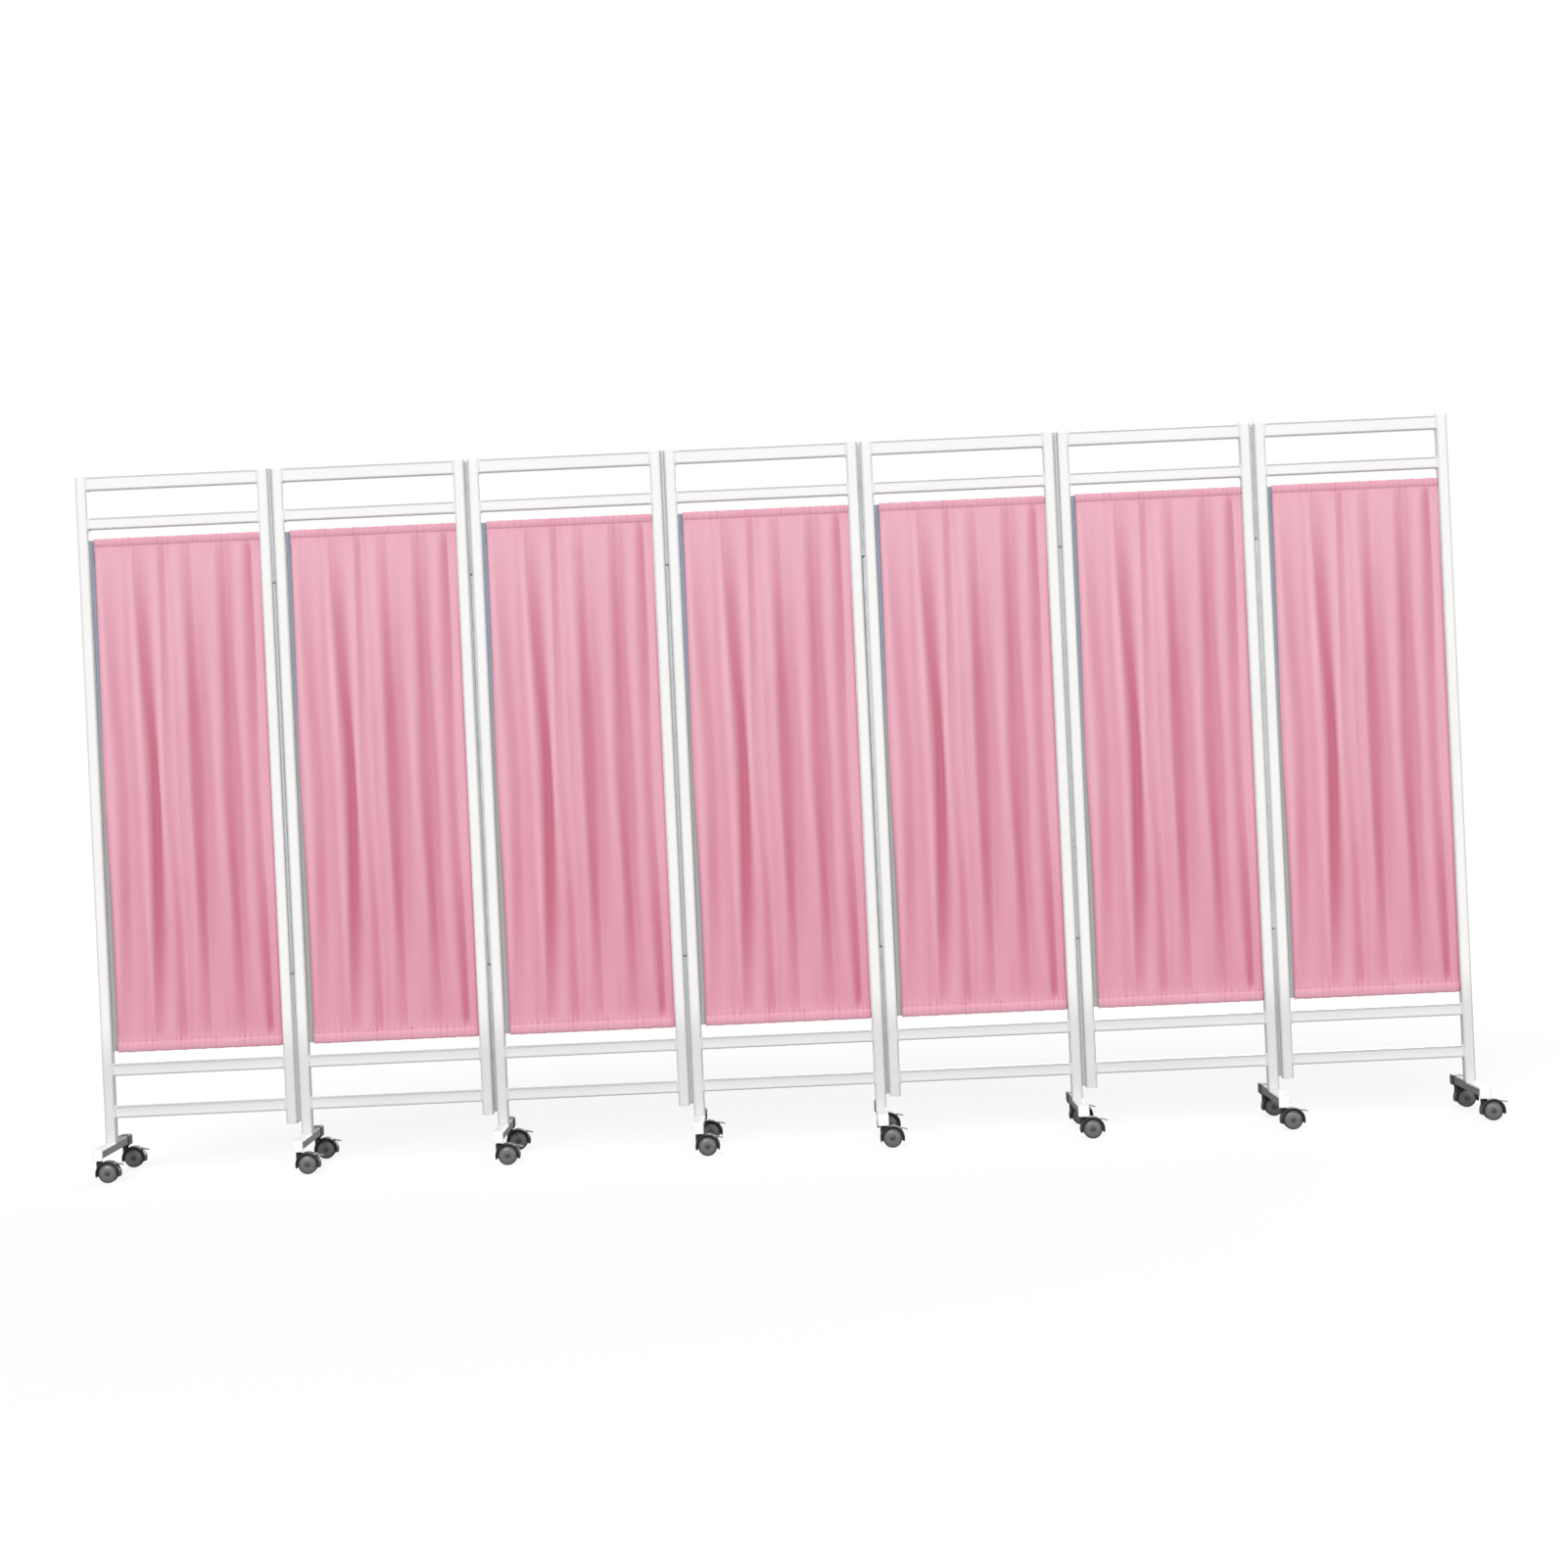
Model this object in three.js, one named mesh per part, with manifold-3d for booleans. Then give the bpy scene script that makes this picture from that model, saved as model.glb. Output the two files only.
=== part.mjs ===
// Ward privacy screen on wheels: seven curtained frames, hinged side by side so that they fold zigzag.
// Millimetres, +Z up. X runs along the screen, -Y is its front, and the floor is Z = 0.
import * as THREE from "three";
import { mergeVertices } from "three/addons/utils/BufferGeometryUtils.js";
import Module from "manifold-3d";

const wasm = await Module();
wasm.setup();

// Whole screen
const panelCount = 7;
const panelPitch = 504;
const screenHeight = 1800;
const hingeGap = 10;
const clearance = 0.3;
const overrun = 5;
const weldDistance = 0.001;

// Frame tubes
const tube = 28;
const tubeWall = 1.2;
const capRise = 8;
const capRadius = 5;
const capSteps = 2;
const topRailHeight = 34;
const upperRailHeight = 29;
const lowerRailHeight = 30;
const bottomRailHeight = 30;
const upperRailDrop = 113;
const lowerRailTop = 285;
const railSpacing = 108;
const shortPostReach = 35;

// Feet
const footLength = 350;
const stemInset = 25;

// Hinges: a rod in three long barrels, two on one post and the middle one on its neighbour
const hingeRod = 5;
const barrelDiameter = 9.4;
const barrelSides = 8;
const hingeInset = 2;
const barrelInset = 10;
const barrelRise = 6;
const upperSplitDrop = 300;
const lowerSplit = 497;
const splitGap = 1.2;
const webDepth = 4;
const rodHead = 2.5;

// Curtains and the two rods that each one is threaded on
const curtainRod = 8;
const rodSides = 8;
const headerGap = 24;
const hemGap = 29;
const pocketDrop = 11;
const pocketFoot = 26;
const pocketBore = 9;
const pocketDepth = 12.4;
const clothDepth = 2;
const edgeDepth = 5;
const postSideGap = 3;
const foldDepth = 11;
const foldColumns = 24;
const ruffleDepth = 0.5;

// Castors
const wheelDiameter = 50;
const wheelSides = 12;
const wheelWidth = 12;
const axleDiameter = 6;
const bodyWeb = 6.6;
const castorTrail = 22;
const hoodClearance = 1.4;
const hoodWall = 4.6;
const hoodGap = 2.85;
const hoodSteps = 9;
const baySides = 12;
const webDrop = 9;
const webHalfLength = 10;
const bossDiameter = 16;
const stemDiameter = 10;
const stemGap = 8;
const roundSides = 8;

// Brake levers
const leverOverhang = 9;
const leverTipHeight = 20;
const leverThickness = 3;
const leverWidth = 13;
const leverPin = 2.4;
const leverPinSides = 6;
const pivotAngle = 60;
const slotStart = 22;
const slotEnd = 74;

// Where the folds lie across a curtain, how wide and how deep each one is, and how far it drifts
const foldShares = [
  { place: 0.06, width: 0.05, depth: 0.7, drift: 0.02 },
  { place: 0.25, width: 0.07, depth: 1.0, drift: 0.06 },
  { place: 0.41, width: 0.05, depth: 0.75, drift: 0.02 },
  { place: 0.57, width: 0.06, depth: 1.0, drift: 0.03 },
  { place: 0.76, width: 0.08, depth: 0.8, drift: 0.04 },
  { place: 0.93, width: 0.05, depth: 0.9, drift: 0.02 },
];
const foldRestShare = 0.4;
const headerFoldShare = 0.7;

// Sizes that follow from the ones above
const midPanel = (panelCount + 1) / 2;
const panelWidth = panelPitch - hingeGap;
const half = tube / 2;
const postPlace = panelWidth / 2 - half;
const innerHalf = panelWidth / 2 - tube;
const wheelRadius = wheelDiameter / 2;
const axleHeight = wheelRadius * Math.cos(Math.PI / wheelSides);
const bayRadius = wheelRadius + hoodClearance;
const hoodRadius = bayRadius + hoodWall;
const pivotRadius = (bayRadius + hoodRadius) / 2;
const leverReach = hoodRadius + leverOverhang;
const wheelInner = bodyWeb / 2 + clearance;
const castorHalfWidth = wheelInner + wheelWidth;
const footBottom = axleHeight + hoodRadius + hoodGap;
const footTop = footBottom + tube;
const stemTop = footTop - stemGap;
const stemSpacing = footLength - 2 * stemInset;
const upperRailTop = screenHeight - upperRailDrop;
const bottomRailTop = lowerRailTop - railSpacing;
const shortPostEnd = bottomRailTop - bottomRailHeight - shortPostReach;
const hingePlace = panelPitch / 2;
const hingeDepth = half - hingeInset;
const barrelTop = screenHeight - barrelInset;
const barrelBottom = shortPostEnd + barrelRise;
const upperSplit = screenHeight - upperSplitDrop;
const curtainHalf = innerHalf - postSideGap;
const curtainTop = upperRailTop - upperRailHeight - headerGap;
const curtainBottom = lowerRailTop + hemGap;
const degree = Math.PI / 180;

const paint = { color: 0xf4f4f2, roughness: 0.35, metalness: 0.0 };
const steel = { color: 0xb4b6b8, roughness: 0.35, metalness: 0.9 };
const cloth = { color: 0xe29cb0, roughness: 0.9, metalness: 0.0 };
const housing = { color: 0x1d1d1f, roughness: 0.5, metalness: 0.0 };
const tyre = { color: 0x6c6d70, roughness: 0.6, metalness: 0.0 };

// Turns a closed geometry into a solid that can be joined and cut.
function solid(geometry) {
  geometry.deleteAttribute("normal");
  geometry.deleteAttribute("uv");
  const merged = mergeVertices(geometry, weldDistance);
  const triVerts = new Uint32Array(merged.index.array);
  const vertProperties = merged.attributes.position.array;
  return new wasm.Manifold(new wasm.Mesh({ numProp: 3, vertProperties, triVerts }));
}

// Turns a solid back into a geometry.
function geometryOf(made) {
  const mesh = made.getMesh();
  const geometry = new THREE.BufferGeometry();
  geometry.setAttribute("position", new THREE.BufferAttribute(mesh.vertProperties, 3));
  geometry.setIndex(new THREE.BufferAttribute(mesh.triVerts, 1));
  geometry.computeVertexNormals();
  return geometry;
}

// The width across corners of a faceted bore that a shaft turns in.
function boreFor(shaft, sides) {
  return (shaft + 2 * clearance) / Math.cos(Math.PI / sides);
}

function join(solids) {
  return solids.reduce((whole, next) => whole.add(next));
}

// A block from its lowest corner to its highest.
function block([x0, y0, z0], [x1, y1, z1]) {
  const geometry = new THREE.BoxGeometry(x1 - x0, y1 - y0, z1 - z0);
  geometry.translate((x0 + x1) / 2, (y0 + y1) / 2, (z0 + z1) / 2);
  return solid(geometry);
}

// An upright round bar. Its sides are turned by half a side, so that flats face along X and Y.
function upright(diameter, sides, x, y, z0, z1) {
  const radius = diameter / 2;
  const geometry = new THREE.CylinderGeometry(radius, radius, z1 - z0, sides);
  geometry.rotateX(Math.PI / 2);
  geometry.rotateZ(Math.PI / sides);
  geometry.translate(x, y, (z0 + z1) / 2);
  return solid(geometry);
}

// A round bar along Y.
function crosswise(diameter, sides, x, z, y0, y1) {
  const radius = diameter / 2;
  const geometry = new THREE.CylinderGeometry(radius, radius, y1 - y0, sides);
  geometry.rotateY(Math.PI / sides);
  geometry.translate(x, (y0 + y1) / 2, z);
  return solid(geometry);
}

// A round bar along X.
function lengthwise(diameter, sides, z, x0, x1) {
  const radius = diameter / 2;
  const geometry = new THREE.CylinderGeometry(radius, radius, x1 - x0, sides);
  geometry.rotateZ(Math.PI / 2);
  geometry.translate((x0 + x1) / 2, 0, z);
  return solid(geometry);
}

// An outline drawn in X and Z, made solid across Y.
function slab(shape, y0, y1) {
  const geometry = new THREE.ExtrudeGeometry(shape, {
    depth: y1 - y0,
    bevelEnabled: false,
    curveSegments: capSteps,
  });
  geometry.rotateX(Math.PI / 2);
  geometry.translate(0, y1, 0);
  return solid(geometry);
}

// A post with a rounded cap, from its foot to the top of the screen.
function post(x, bottom) {
  const shape = new THREE.Shape();
  shape.moveTo(x - half, bottom);
  shape.lineTo(x + half, bottom);
  shape.lineTo(x + half, screenHeight - capRadius);
  shape.absarc(x + half - capRadius, screenHeight - capRadius, capRadius, 0, Math.PI / 2);
  shape.absarc(x - half + capRadius, screenHeight - capRadius, capRadius, Math.PI / 2, Math.PI);
  return slab(shape, -half, half);
}

// The four rails, each as its lowest and highest level.
function railLevels() {
  const topRailTop = screenHeight - capRise;
  return [
    [topRailTop - topRailHeight, topRailTop],
    [upperRailTop - upperRailHeight, upperRailTop],
    [lowerRailTop - lowerRailHeight, lowerRailTop],
    [bottomRailTop - bottomRailHeight, bottomRailTop],
  ];
}

function hasFoot(panel, side) {
  return side < 0 ? panel <= midPanel : panel >= midPanel;
}

// Gaps are numbered by the panel on their left. Odd gaps hinge at the front face, even ones at the back.
function hingeLine(gap) {
  return gap % 2 === 1 ? -hingeDepth : hingeDepth;
}

// The levels of the three barrels of a hinge: the outer two sit on the post to their left.
function barrelLevels() {
  return [
    { side: 1, bottom: upperSplit + splitGap / 2, top: barrelTop },
    { side: -1, bottom: lowerSplit + splitGap / 2, top: upperSplit - splitGap / 2 },
    { side: 1, bottom: barrelBottom, top: lowerSplit - splitGap / 2 },
  ];
}

// The barrels that one post carries, with the webs that weld them to it.
function barrels(gap, side) {
  const x = side * hingePlace;
  const y = hingeLine(gap);
  const inward = y < 0 ? 1 : -1;
  const webEdges = [y, y + inward * webDepth].sort((a, b) => a - b);
  const xEdges = [x, side * (panelWidth / 2 - tubeWall / 2)].sort((a, b) => a - b);
  const made = [];
  for (const level of barrelLevels().filter((each) => each.side === side)) {
    made.push(upright(barrelDiameter, barrelSides, x, y, level.bottom, level.top));
    const low = [xEdges[0], webEdges[0], level.bottom];
    const high = [xEdges[1], webEdges[1], level.top];
    made.push(block(low, high));
  }
  return made;
}

function hingeBore(gap, side) {
  const bore = boreFor(hingeRod, barrelSides);
  const x = side * hingePlace;
  return upright(bore, barrelSides, x, hingeLine(gap), barrelBottom - overrun, barrelTop + overrun);
}

// One welded frame: two posts, four rails, two curtain rods, its feet and its share of the hinges.
function frame(panel) {
  const outer = [];
  const inner = [];
  const bores = [];
  const bore = half - tubeWall;
  for (const side of [-1, 1]) {
    const x = side * postPlace;
    const footed = hasFoot(panel, side);
    const bottom = footed ? footTop - tubeWall / 2 : shortPostEnd;
    const innerBottom = footed ? footTop - tube / 2 : shortPostEnd + tubeWall;
    outer.push(post(x, bottom));
    inner.push(block([x - bore, -bore, innerBottom], [x + bore, bore, screenHeight - capRadius]));
    if (footed) {
      const reach = footLength / 2;
      outer.push(block([x - half, -reach, footBottom], [x + half, reach, footTop]));
      const low = [x - bore, tubeWall - reach, footBottom + tubeWall];
      inner.push(block(low, [x + bore, reach - tubeWall, footTop - tubeWall]));
      for (const end of [-1, 1]) {
        const socket = boreFor(stemDiameter, roundSides);
        const y = (end * stemSpacing) / 2;
        bores.push(upright(socket, roundSides, x, y, footBottom - overrun, footBottom + half));
      }
    }
    const gap = side < 0 ? panel - 1 : panel;
    if (gap >= 1 && gap < panelCount) {
      outer.push(...barrels(gap, side));
      bores.push(hingeBore(gap, side));
    }
  }
  const seat = innerHalf + tubeWall / 2;
  for (const [low, high] of railLevels()) {
    outer.push(block([-seat, -half, low], [seat, half, high]));
    const ends = innerHalf + half;
    inner.push(block([-ends, -bore, low + tubeWall], [ends, bore, high - tubeWall]));
  }
  for (const level of curtainRodLevels()) {
    outer.push(lengthwise(curtainRod, rodSides, level, -seat, seat));
  }
  return join(outer).subtract(join(inner)).subtract(join(bores));
}

function curtainRodLevels() {
  return [curtainTop - pocketDrop, curtainBottom + pocketDrop];
}

// Depth of the folds at a place across the curtain, as a share: smooth valleys between rounded crests.
function foldShare(across, down) {
  let valley = 0;
  for (const fold of foldShares) {
    const offset = (across - fold.place - fold.drift * down) / fold.width;
    valley += fold.depth / (1 + offset * offset);
  }
  return valley - foldRestShare;
}

// Rows of the curtain from its top edge down: level, depth of the cloth there, and share of the folds.
function curtainRows() {
  const levels = [
    [curtainTop, edgeDepth, 0],
    [curtainTop - pocketDrop, pocketDepth, 0],
    [curtainTop - pocketFoot, clothDepth, headerFoldShare],
    [(curtainTop + curtainBottom) / 2, clothDepth, 1],
    [curtainBottom + pocketFoot, clothDepth, headerFoldShare],
    [curtainBottom + pocketDrop, pocketDepth, 0],
    [curtainBottom, edgeDepth, 0],
  ];
  return levels.map(([level, depth, foldPart]) => ({ level, depth, foldPart }));
}

// A curtain as one closed sheet: front and back faces on a grid, closed round the edges.
function curtain() {
  const rows = curtainRows();
  const height = curtainTop - curtainBottom;
  const points = [];
  for (const face of [-1, 1]) {
    rows.forEach((row, r) => {
      for (let c = 0; c <= foldColumns; c++) {
        const across = c / foldColumns;
        const down = (curtainTop - row.level) / height;
        const fold = foldDepth * row.foldPart * foldShare(across, down);
        const ruffle = row.foldPart ? 0 : ruffleDepth * Math.sin((c * Math.PI) / 2);
        const y = fold + ruffle + face * (row.depth / 2);
        points.push((2 * across - 1) * curtainHalf, y, row.level);
      }
    });
  }
  const columns = foldColumns + 1;
  const at = (face, r, c) => (face * rows.length + r) * columns + c;
  const index = [];
  const quad = (a, b, c, d) => index.push(a, b, c, a, c, d);
  for (let r = 0; r < rows.length - 1; r++) {
    for (let c = 0; c < foldColumns; c++) {
      quad(at(0, r, c), at(0, r + 1, c), at(0, r + 1, c + 1), at(0, r, c + 1));
      quad(at(1, r, c), at(1, r, c + 1), at(1, r + 1, c + 1), at(1, r + 1, c));
    }
    quad(at(0, r, 0), at(1, r, 0), at(1, r + 1, 0), at(0, r + 1, 0));
    const e = foldColumns;
    quad(at(0, r, e), at(0, r + 1, e), at(1, r + 1, e), at(1, r, e));
  }
  const last = rows.length - 1;
  for (let c = 0; c < foldColumns; c++) {
    quad(at(0, 0, c), at(0, 0, c + 1), at(1, 0, c + 1), at(1, 0, c));
    quad(at(0, last, c), at(1, last, c), at(1, last, c + 1), at(0, last, c + 1));
  }
  const geometry = new THREE.BufferGeometry();
  geometry.setAttribute("position", new THREE.Float32BufferAttribute(points, 3));
  geometry.setIndex(index);
  const ends = curtainHalf + overrun;
  const tunnels = curtainRodLevels().map((z) => lengthwise(pocketBore, rodSides, z, -ends, ends));
  return solid(geometry).subtract(join(tunnels));
}

// The rod that a hinge turns on, with a head resting on the top barrel.
function hingePin(y) {
  const rod = upright(hingeRod, barrelSides, 0, y, barrelBottom, barrelTop + clearance + rodHead / 2);
  const headBottom = barrelTop + clearance;
  return rod.add(upright(barrelDiameter, barrelSides, 0, y, headBottom, headBottom + rodHead));
}

function onCircle(radius, angle) {
  return [radius * Math.cos(angle * degree), radius * Math.sin(angle * degree)];
}

// Outline of a brake lever, seen from the front, with the axle at its origin.
function leverShape() {
  const [px, pz] = onCircle(pivotRadius, pivotAngle);
  const t = leverThickness / 2;
  const shape = new THREE.Shape();
  shape.moveTo(px - t, pz - t);
  shape.lineTo(leverReach, leverTipHeight - t);
  shape.lineTo(leverReach, leverTipHeight + t);
  shape.lineTo(px + t, pz + t);
  shape.lineTo(px - t, pz + t);
  return shape;
}

// A castor body, with the axle at its origin: hood, web between the wheels, boss and stem.
function castorBody(braked) {
  const shape = new THREE.Shape();
  shape.moveTo(hoodRadius, 0);
  for (let step = 1; step <= hoodSteps; step++) {
    shape.lineTo(...onCircle(hoodRadius, (180 * step) / hoodSteps));
  }
  shape.lineTo(-webHalfLength, -webDrop);
  shape.lineTo(webHalfLength, -webDrop);
  const w = castorHalfWidth;
  const bossTop = footBottom - clearance - axleHeight;
  const solids = [
    slab(shape, -w, w),
    upright(bossDiameter, roundSides, -castorTrail, 0, 0, bossTop),
    upright(stemDiameter, roundSides, -castorTrail, 0, 0, stemTop - axleHeight),
  ];
  const cuts = [
    crosswise(2 * bayRadius, baySides, 0, 0, bodyWeb / 2, w + overrun),
    crosswise(2 * bayRadius, baySides, 0, 0, -w - overrun, -bodyWeb / 2),
    crosswise(boreFor(axleDiameter, roundSides), roundSides, 0, 0, -bodyWeb, bodyWeb),
  ];
  if (braked) {
    cuts.push(leverSlot(), leverBore());
  } else {
    solids.push(slab(leverShape(), -leverWidth / 2, leverWidth / 2));
  }
  return join(solids).subtract(join(cuts));
}

// The slot in the hood that the lever works in.
function leverSlot() {
  const w = leverWidth / 2 + clearance;
  const outer = hoodRadius + overrun;
  const shape = new THREE.Shape();
  shape.moveTo(...onCircle(bayRadius - hoodClearance, slotStart));
  shape.lineTo(...onCircle(outer, slotStart));
  shape.lineTo(...onCircle(outer, slotEnd));
  shape.lineTo(...onCircle(bayRadius - hoodClearance, slotEnd));
  return slab(shape, -w, w);
}

function leverBore() {
  const [px, pz] = onCircle(pivotRadius, pivotAngle);
  const w = castorHalfWidth + overrun;
  return crosswise(boreFor(leverPin, leverPinSides), leverPinSides, px, pz, -w, w);
}

// A brake lever with its pin, with the axle at its origin.
function brakeLever() {
  const [px, pz] = onCircle(pivotRadius, pivotAngle);
  const w = leverWidth / 2;
  return join([
    slab(leverShape(), -w, w),
    crosswise(leverPin, leverPinSides, px, pz, -castorHalfWidth, castorHalfWidth),
  ]);
}

// Two wheels on one axle, turned about Y.
function wheelPair() {
  const [r, a, w, i] = [wheelRadius, axleDiameter / 2, castorHalfWidth, wheelInner];
  const profile = [
    [0, -w],
    [r, -w],
    [r, -i],
    [a, -i],
    [a, i],
    [r, i],
    [r, w],
    [0, w],
  ];
  const points = profile.map(([x, y]) => new THREE.Vector2(x, y));
  const geometry = new THREE.LatheGeometry(points, wheelSides, Math.PI / wheelSides);
  return solid(geometry);
}

function piece(name, made, look) {
  const mesh = new THREE.Mesh(geometryOf(made), new THREE.MeshStandardMaterial(look));
  mesh.name = name;
  return mesh;
}

// A castor under one end of a foot. The feet are numbered from the left.
function castor(end, number, braked) {
  const group = new THREE.Group();
  group.add(piece(`castor_body_${end}_${number}`, castorBody(braked), housing));
  group.add(piece(`castor_wheels_${end}_${number}`, wheelPair(), tyre));
  if (braked) {
    group.add(piece(`brake_lever_${number}`, brakeLever(), housing));
  }
  return group;
}

// One panel: its frame and curtain, the castors under its feet and the pin of the hinge on its right.
function panelGroup(panel) {
  const group = new THREE.Group();
  group.add(piece(`frame_${panel}`, frame(panel), paint));
  group.add(piece(`curtain_${panel}`, curtain(), cloth));
  for (const side of [-1, 1].filter((each) => hasFoot(panel, each))) {
    const number = side < 0 ? panel : panel + 1;
    for (const [end, depth] of [["front", -1], ["back", 1]]) {
      const made = castor(end, number, end === "front");
      const x = side * postPlace + castorTrail;
      made.position.set(x, (depth * stemSpacing) / 2, axleHeight);
      group.add(made);
    }
  }
  if (panel < panelCount) {
    const pin = piece(`hinge_pin_${panel}`, hingePin(hingeLine(panel)), steel);
    pin.position.x = hingePlace;
    group.add(pin);
  }
  return group;
}

const screen = new THREE.Group();
for (let panel = 1; panel <= panelCount; panel++) {
  const group = panelGroup(panel);
  group.position.x = (panel - midPanel) * panelPitch;
  screen.add(group);
}

// The origin is on the floor, below the middle of the whole screen with its castors.
const bounds = new THREE.Box3().setFromObject(screen);
screen.position.x = -(bounds.min.x + bounds.max.x) / 2;

export default screen;
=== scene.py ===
"""Looks of a ward privacy screen: seven curtained tube frames on wheeled feet, hinged side by side.

Metres, +Z up. X runs along the screen, -Y is its front, and the floor is Z = 0.
"""

import math

import bpy
import numpy as np
from bpy.props import FloatProperty, FloatVectorProperty, IntProperty, PointerProperty
from mathutils import Matrix, Vector


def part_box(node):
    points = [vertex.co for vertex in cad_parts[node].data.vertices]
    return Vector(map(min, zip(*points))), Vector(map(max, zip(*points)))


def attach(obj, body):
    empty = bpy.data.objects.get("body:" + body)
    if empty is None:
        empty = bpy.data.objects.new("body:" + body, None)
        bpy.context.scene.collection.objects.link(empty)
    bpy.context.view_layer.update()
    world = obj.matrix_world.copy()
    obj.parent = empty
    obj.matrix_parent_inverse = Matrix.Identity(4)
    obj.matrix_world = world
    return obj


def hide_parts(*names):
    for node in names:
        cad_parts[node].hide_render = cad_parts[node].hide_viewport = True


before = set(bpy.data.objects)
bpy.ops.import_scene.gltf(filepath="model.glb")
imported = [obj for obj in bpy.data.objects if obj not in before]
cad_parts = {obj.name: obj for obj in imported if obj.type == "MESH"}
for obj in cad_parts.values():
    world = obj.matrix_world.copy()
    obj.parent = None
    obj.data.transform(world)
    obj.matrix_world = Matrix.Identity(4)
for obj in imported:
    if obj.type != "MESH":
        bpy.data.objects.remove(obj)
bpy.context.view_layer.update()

bl_info = {
    "name": "Ward privacy screen",
    "version": (1, 0, 0),
    "blender": (4, 5, 0),
    "location": "3D Viewport > Sidebar > Ward screen",
    "description": "Tube frames, gathered curtains, hinges, feet and castors of a folding ward screen",
    "category": "Add Mesh",
}


def middle(node):
    low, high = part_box(node)
    return (low + high) / 2


PANELS = sorted(int(name.split("_")[1]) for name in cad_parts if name.startswith("curtain_"))
GAPS = PANELS[:-1]
FEET = PANELS + [PANELS[-1] + 1]
MID_PANEL = (PANELS[0] + PANELS[-1]) // 2
PANEL_X = {panel: middle(f"curtain_{panel}").x for panel in PANELS}
HINGE = {gap: Vector((*middle(f"hinge_pin_{gap}").xy, 0)) for gap in GAPS}
AXLE = {(end, foot): middle(f"castor_wheels_{end}_{foot}") for end in ("front", "back") for foot in FEET}
SIDES = (-1, 1)

# Sizes, levels and places
TUBE = 0.028
POST_PLACE = 0.233
INNER_HALF = 0.219
SCREEN_TOP = 1.800
TUBE_TOP = 1.792
SHORT_POST_END = 0.112
RAILS = ((1.758, 1.792), (1.658, 1.687), (0.255, 0.285), (0.147, 0.177))
FOOT_BOTTOM, FOOT_TOP = 0.058, 0.086
FOOT_HALF = 0.175
SLEEVE = 0.048
COVER_BEND = 0.0045
CURTAIN_ROD, HINGE_ROD, WHEEL_AXLE, LEVER_PIN = 0.004, 0.0025, 0.003, 0.0012
ROD_LEVELS = (1.623, 0.325)
CURTAIN_TOP, CURTAIN_BOTTOM = 1.634, 0.314
HEADER, HEM = 0.0210, 0.0255
UPPER_SEAM, LOWER_SEAM = CURTAIN_TOP - HEADER, CURTAIN_BOTTOM + HEM
THREAD, STITCH = 0.0007, 0.0036
BARREL_BOTTOM, LOWER_SPLIT, UPPER_SPLIT, BARREL_TOP = 0.118, 0.497, 1.500, 1.790
SPLIT_HALF = 0.0006
TRAIL = 0.022
WHEEL_INNER, CASTOR_HALF = 0.0036, 0.0156
BAY_RADIUS, HOOD_RADIUS = 0.0264, 0.0310
LEVER_HALF = 0.0065
SLOT_ANGLES = (22, 74)
PIVOT = (0.01435, 0.02486)
BEAD_FRONT, BEAD_RIPPLE = 0.00035, 0.0016
# How far beside an arc its flats are held flat, on small parts and on the tubes
HOLD, TUBE_HOLD = 0.0003, 0.0015
# Of a bar along each axis: the axes of its length, its width and its depth
AXES = {"x": (0, 1, 2), "y": (1, 0, 2), "z": (2, 0, 1)}
FLOOR_HALF, SENSOR = 40.0, 36.0


def paint(red, green, blue):
    """A colour in 0-255 display steps, as the linear numbers that shaders use."""
    share = np.array([red, green, blue]) / 255
    return tuple(np.where(share <= 0.04045, share / 12.92, ((share + 0.055) / 1.055) ** 2.4).tolist())


def shade(colour, factor):
    """A colour with its parts times a factor, or times one each, kept within 1."""
    return tuple(np.minimum(np.array(tuple(colour)) * factor, 1.0).tolist())


def amount(label, note, default, low=0.0, **more):
    return FloatProperty(name=label, description=note, default=default, min=low, **more)


def length(label, note, default):
    return amount(label, note, default, max=0.1, unit="LENGTH", precision=5)


def turning(label, note, degrees, low=-90, high=90):
    return amount(label, note, math.radians(degrees), math.radians(low), max=math.radians(high), unit="ROTATION")


def colour(label, note, *steps):
    return FloatVectorProperty(
        name=label, description=note, default=paint(*steps), min=0.0, max=1.0, size=3, subtype="COLOR"
    )


class ScreenShape(bpy.types.PropertyGroup):
    """Sizes that change the look of the screen without changing its frame"""

    tube_corner: length("Tube corner", "Radius of the tubes' edges", 0.004)
    cap_corner: length("Cap corner", "Radius round a cap's top", 0.005)
    bead_reach: length("Weld bead", "Reach of a weld bead along its rail and its post", 0.0024)
    foot_corner: length("Foot corner", "Radius of the feet's edges", 0.0028)
    cover_wall: length("Cover wall", "Thickness of the feet's covers", 0.0012)
    barrel_radius: length("Barrel radius", "Radius of the hinge barrels", 0.0046)
    fold_depth: length("Fold depth", "Depth of the deepest curtain fold", 0.0105)
    gather_depth: length("Gather depth", "Depth of the fine gathers at the seams", 0.0017)
    cloth_thickness: length("Cloth thickness", "Thickness of the cloth", 0.0009)
    curtain_columns: IntProperty(name="Curtain columns", description="Points across a curtain", default=216, min=40)
    wheel_radius: length("Wheel radius", "Radius of the round wheels", 0.0241)
    rim_round: length("Hood rounding", "Radius of a castor hood's edges", 0.0017)
    hood_drop: turning("Hood drop", "How far the hood reaches below the axle", 16, 0, 40)


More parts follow.
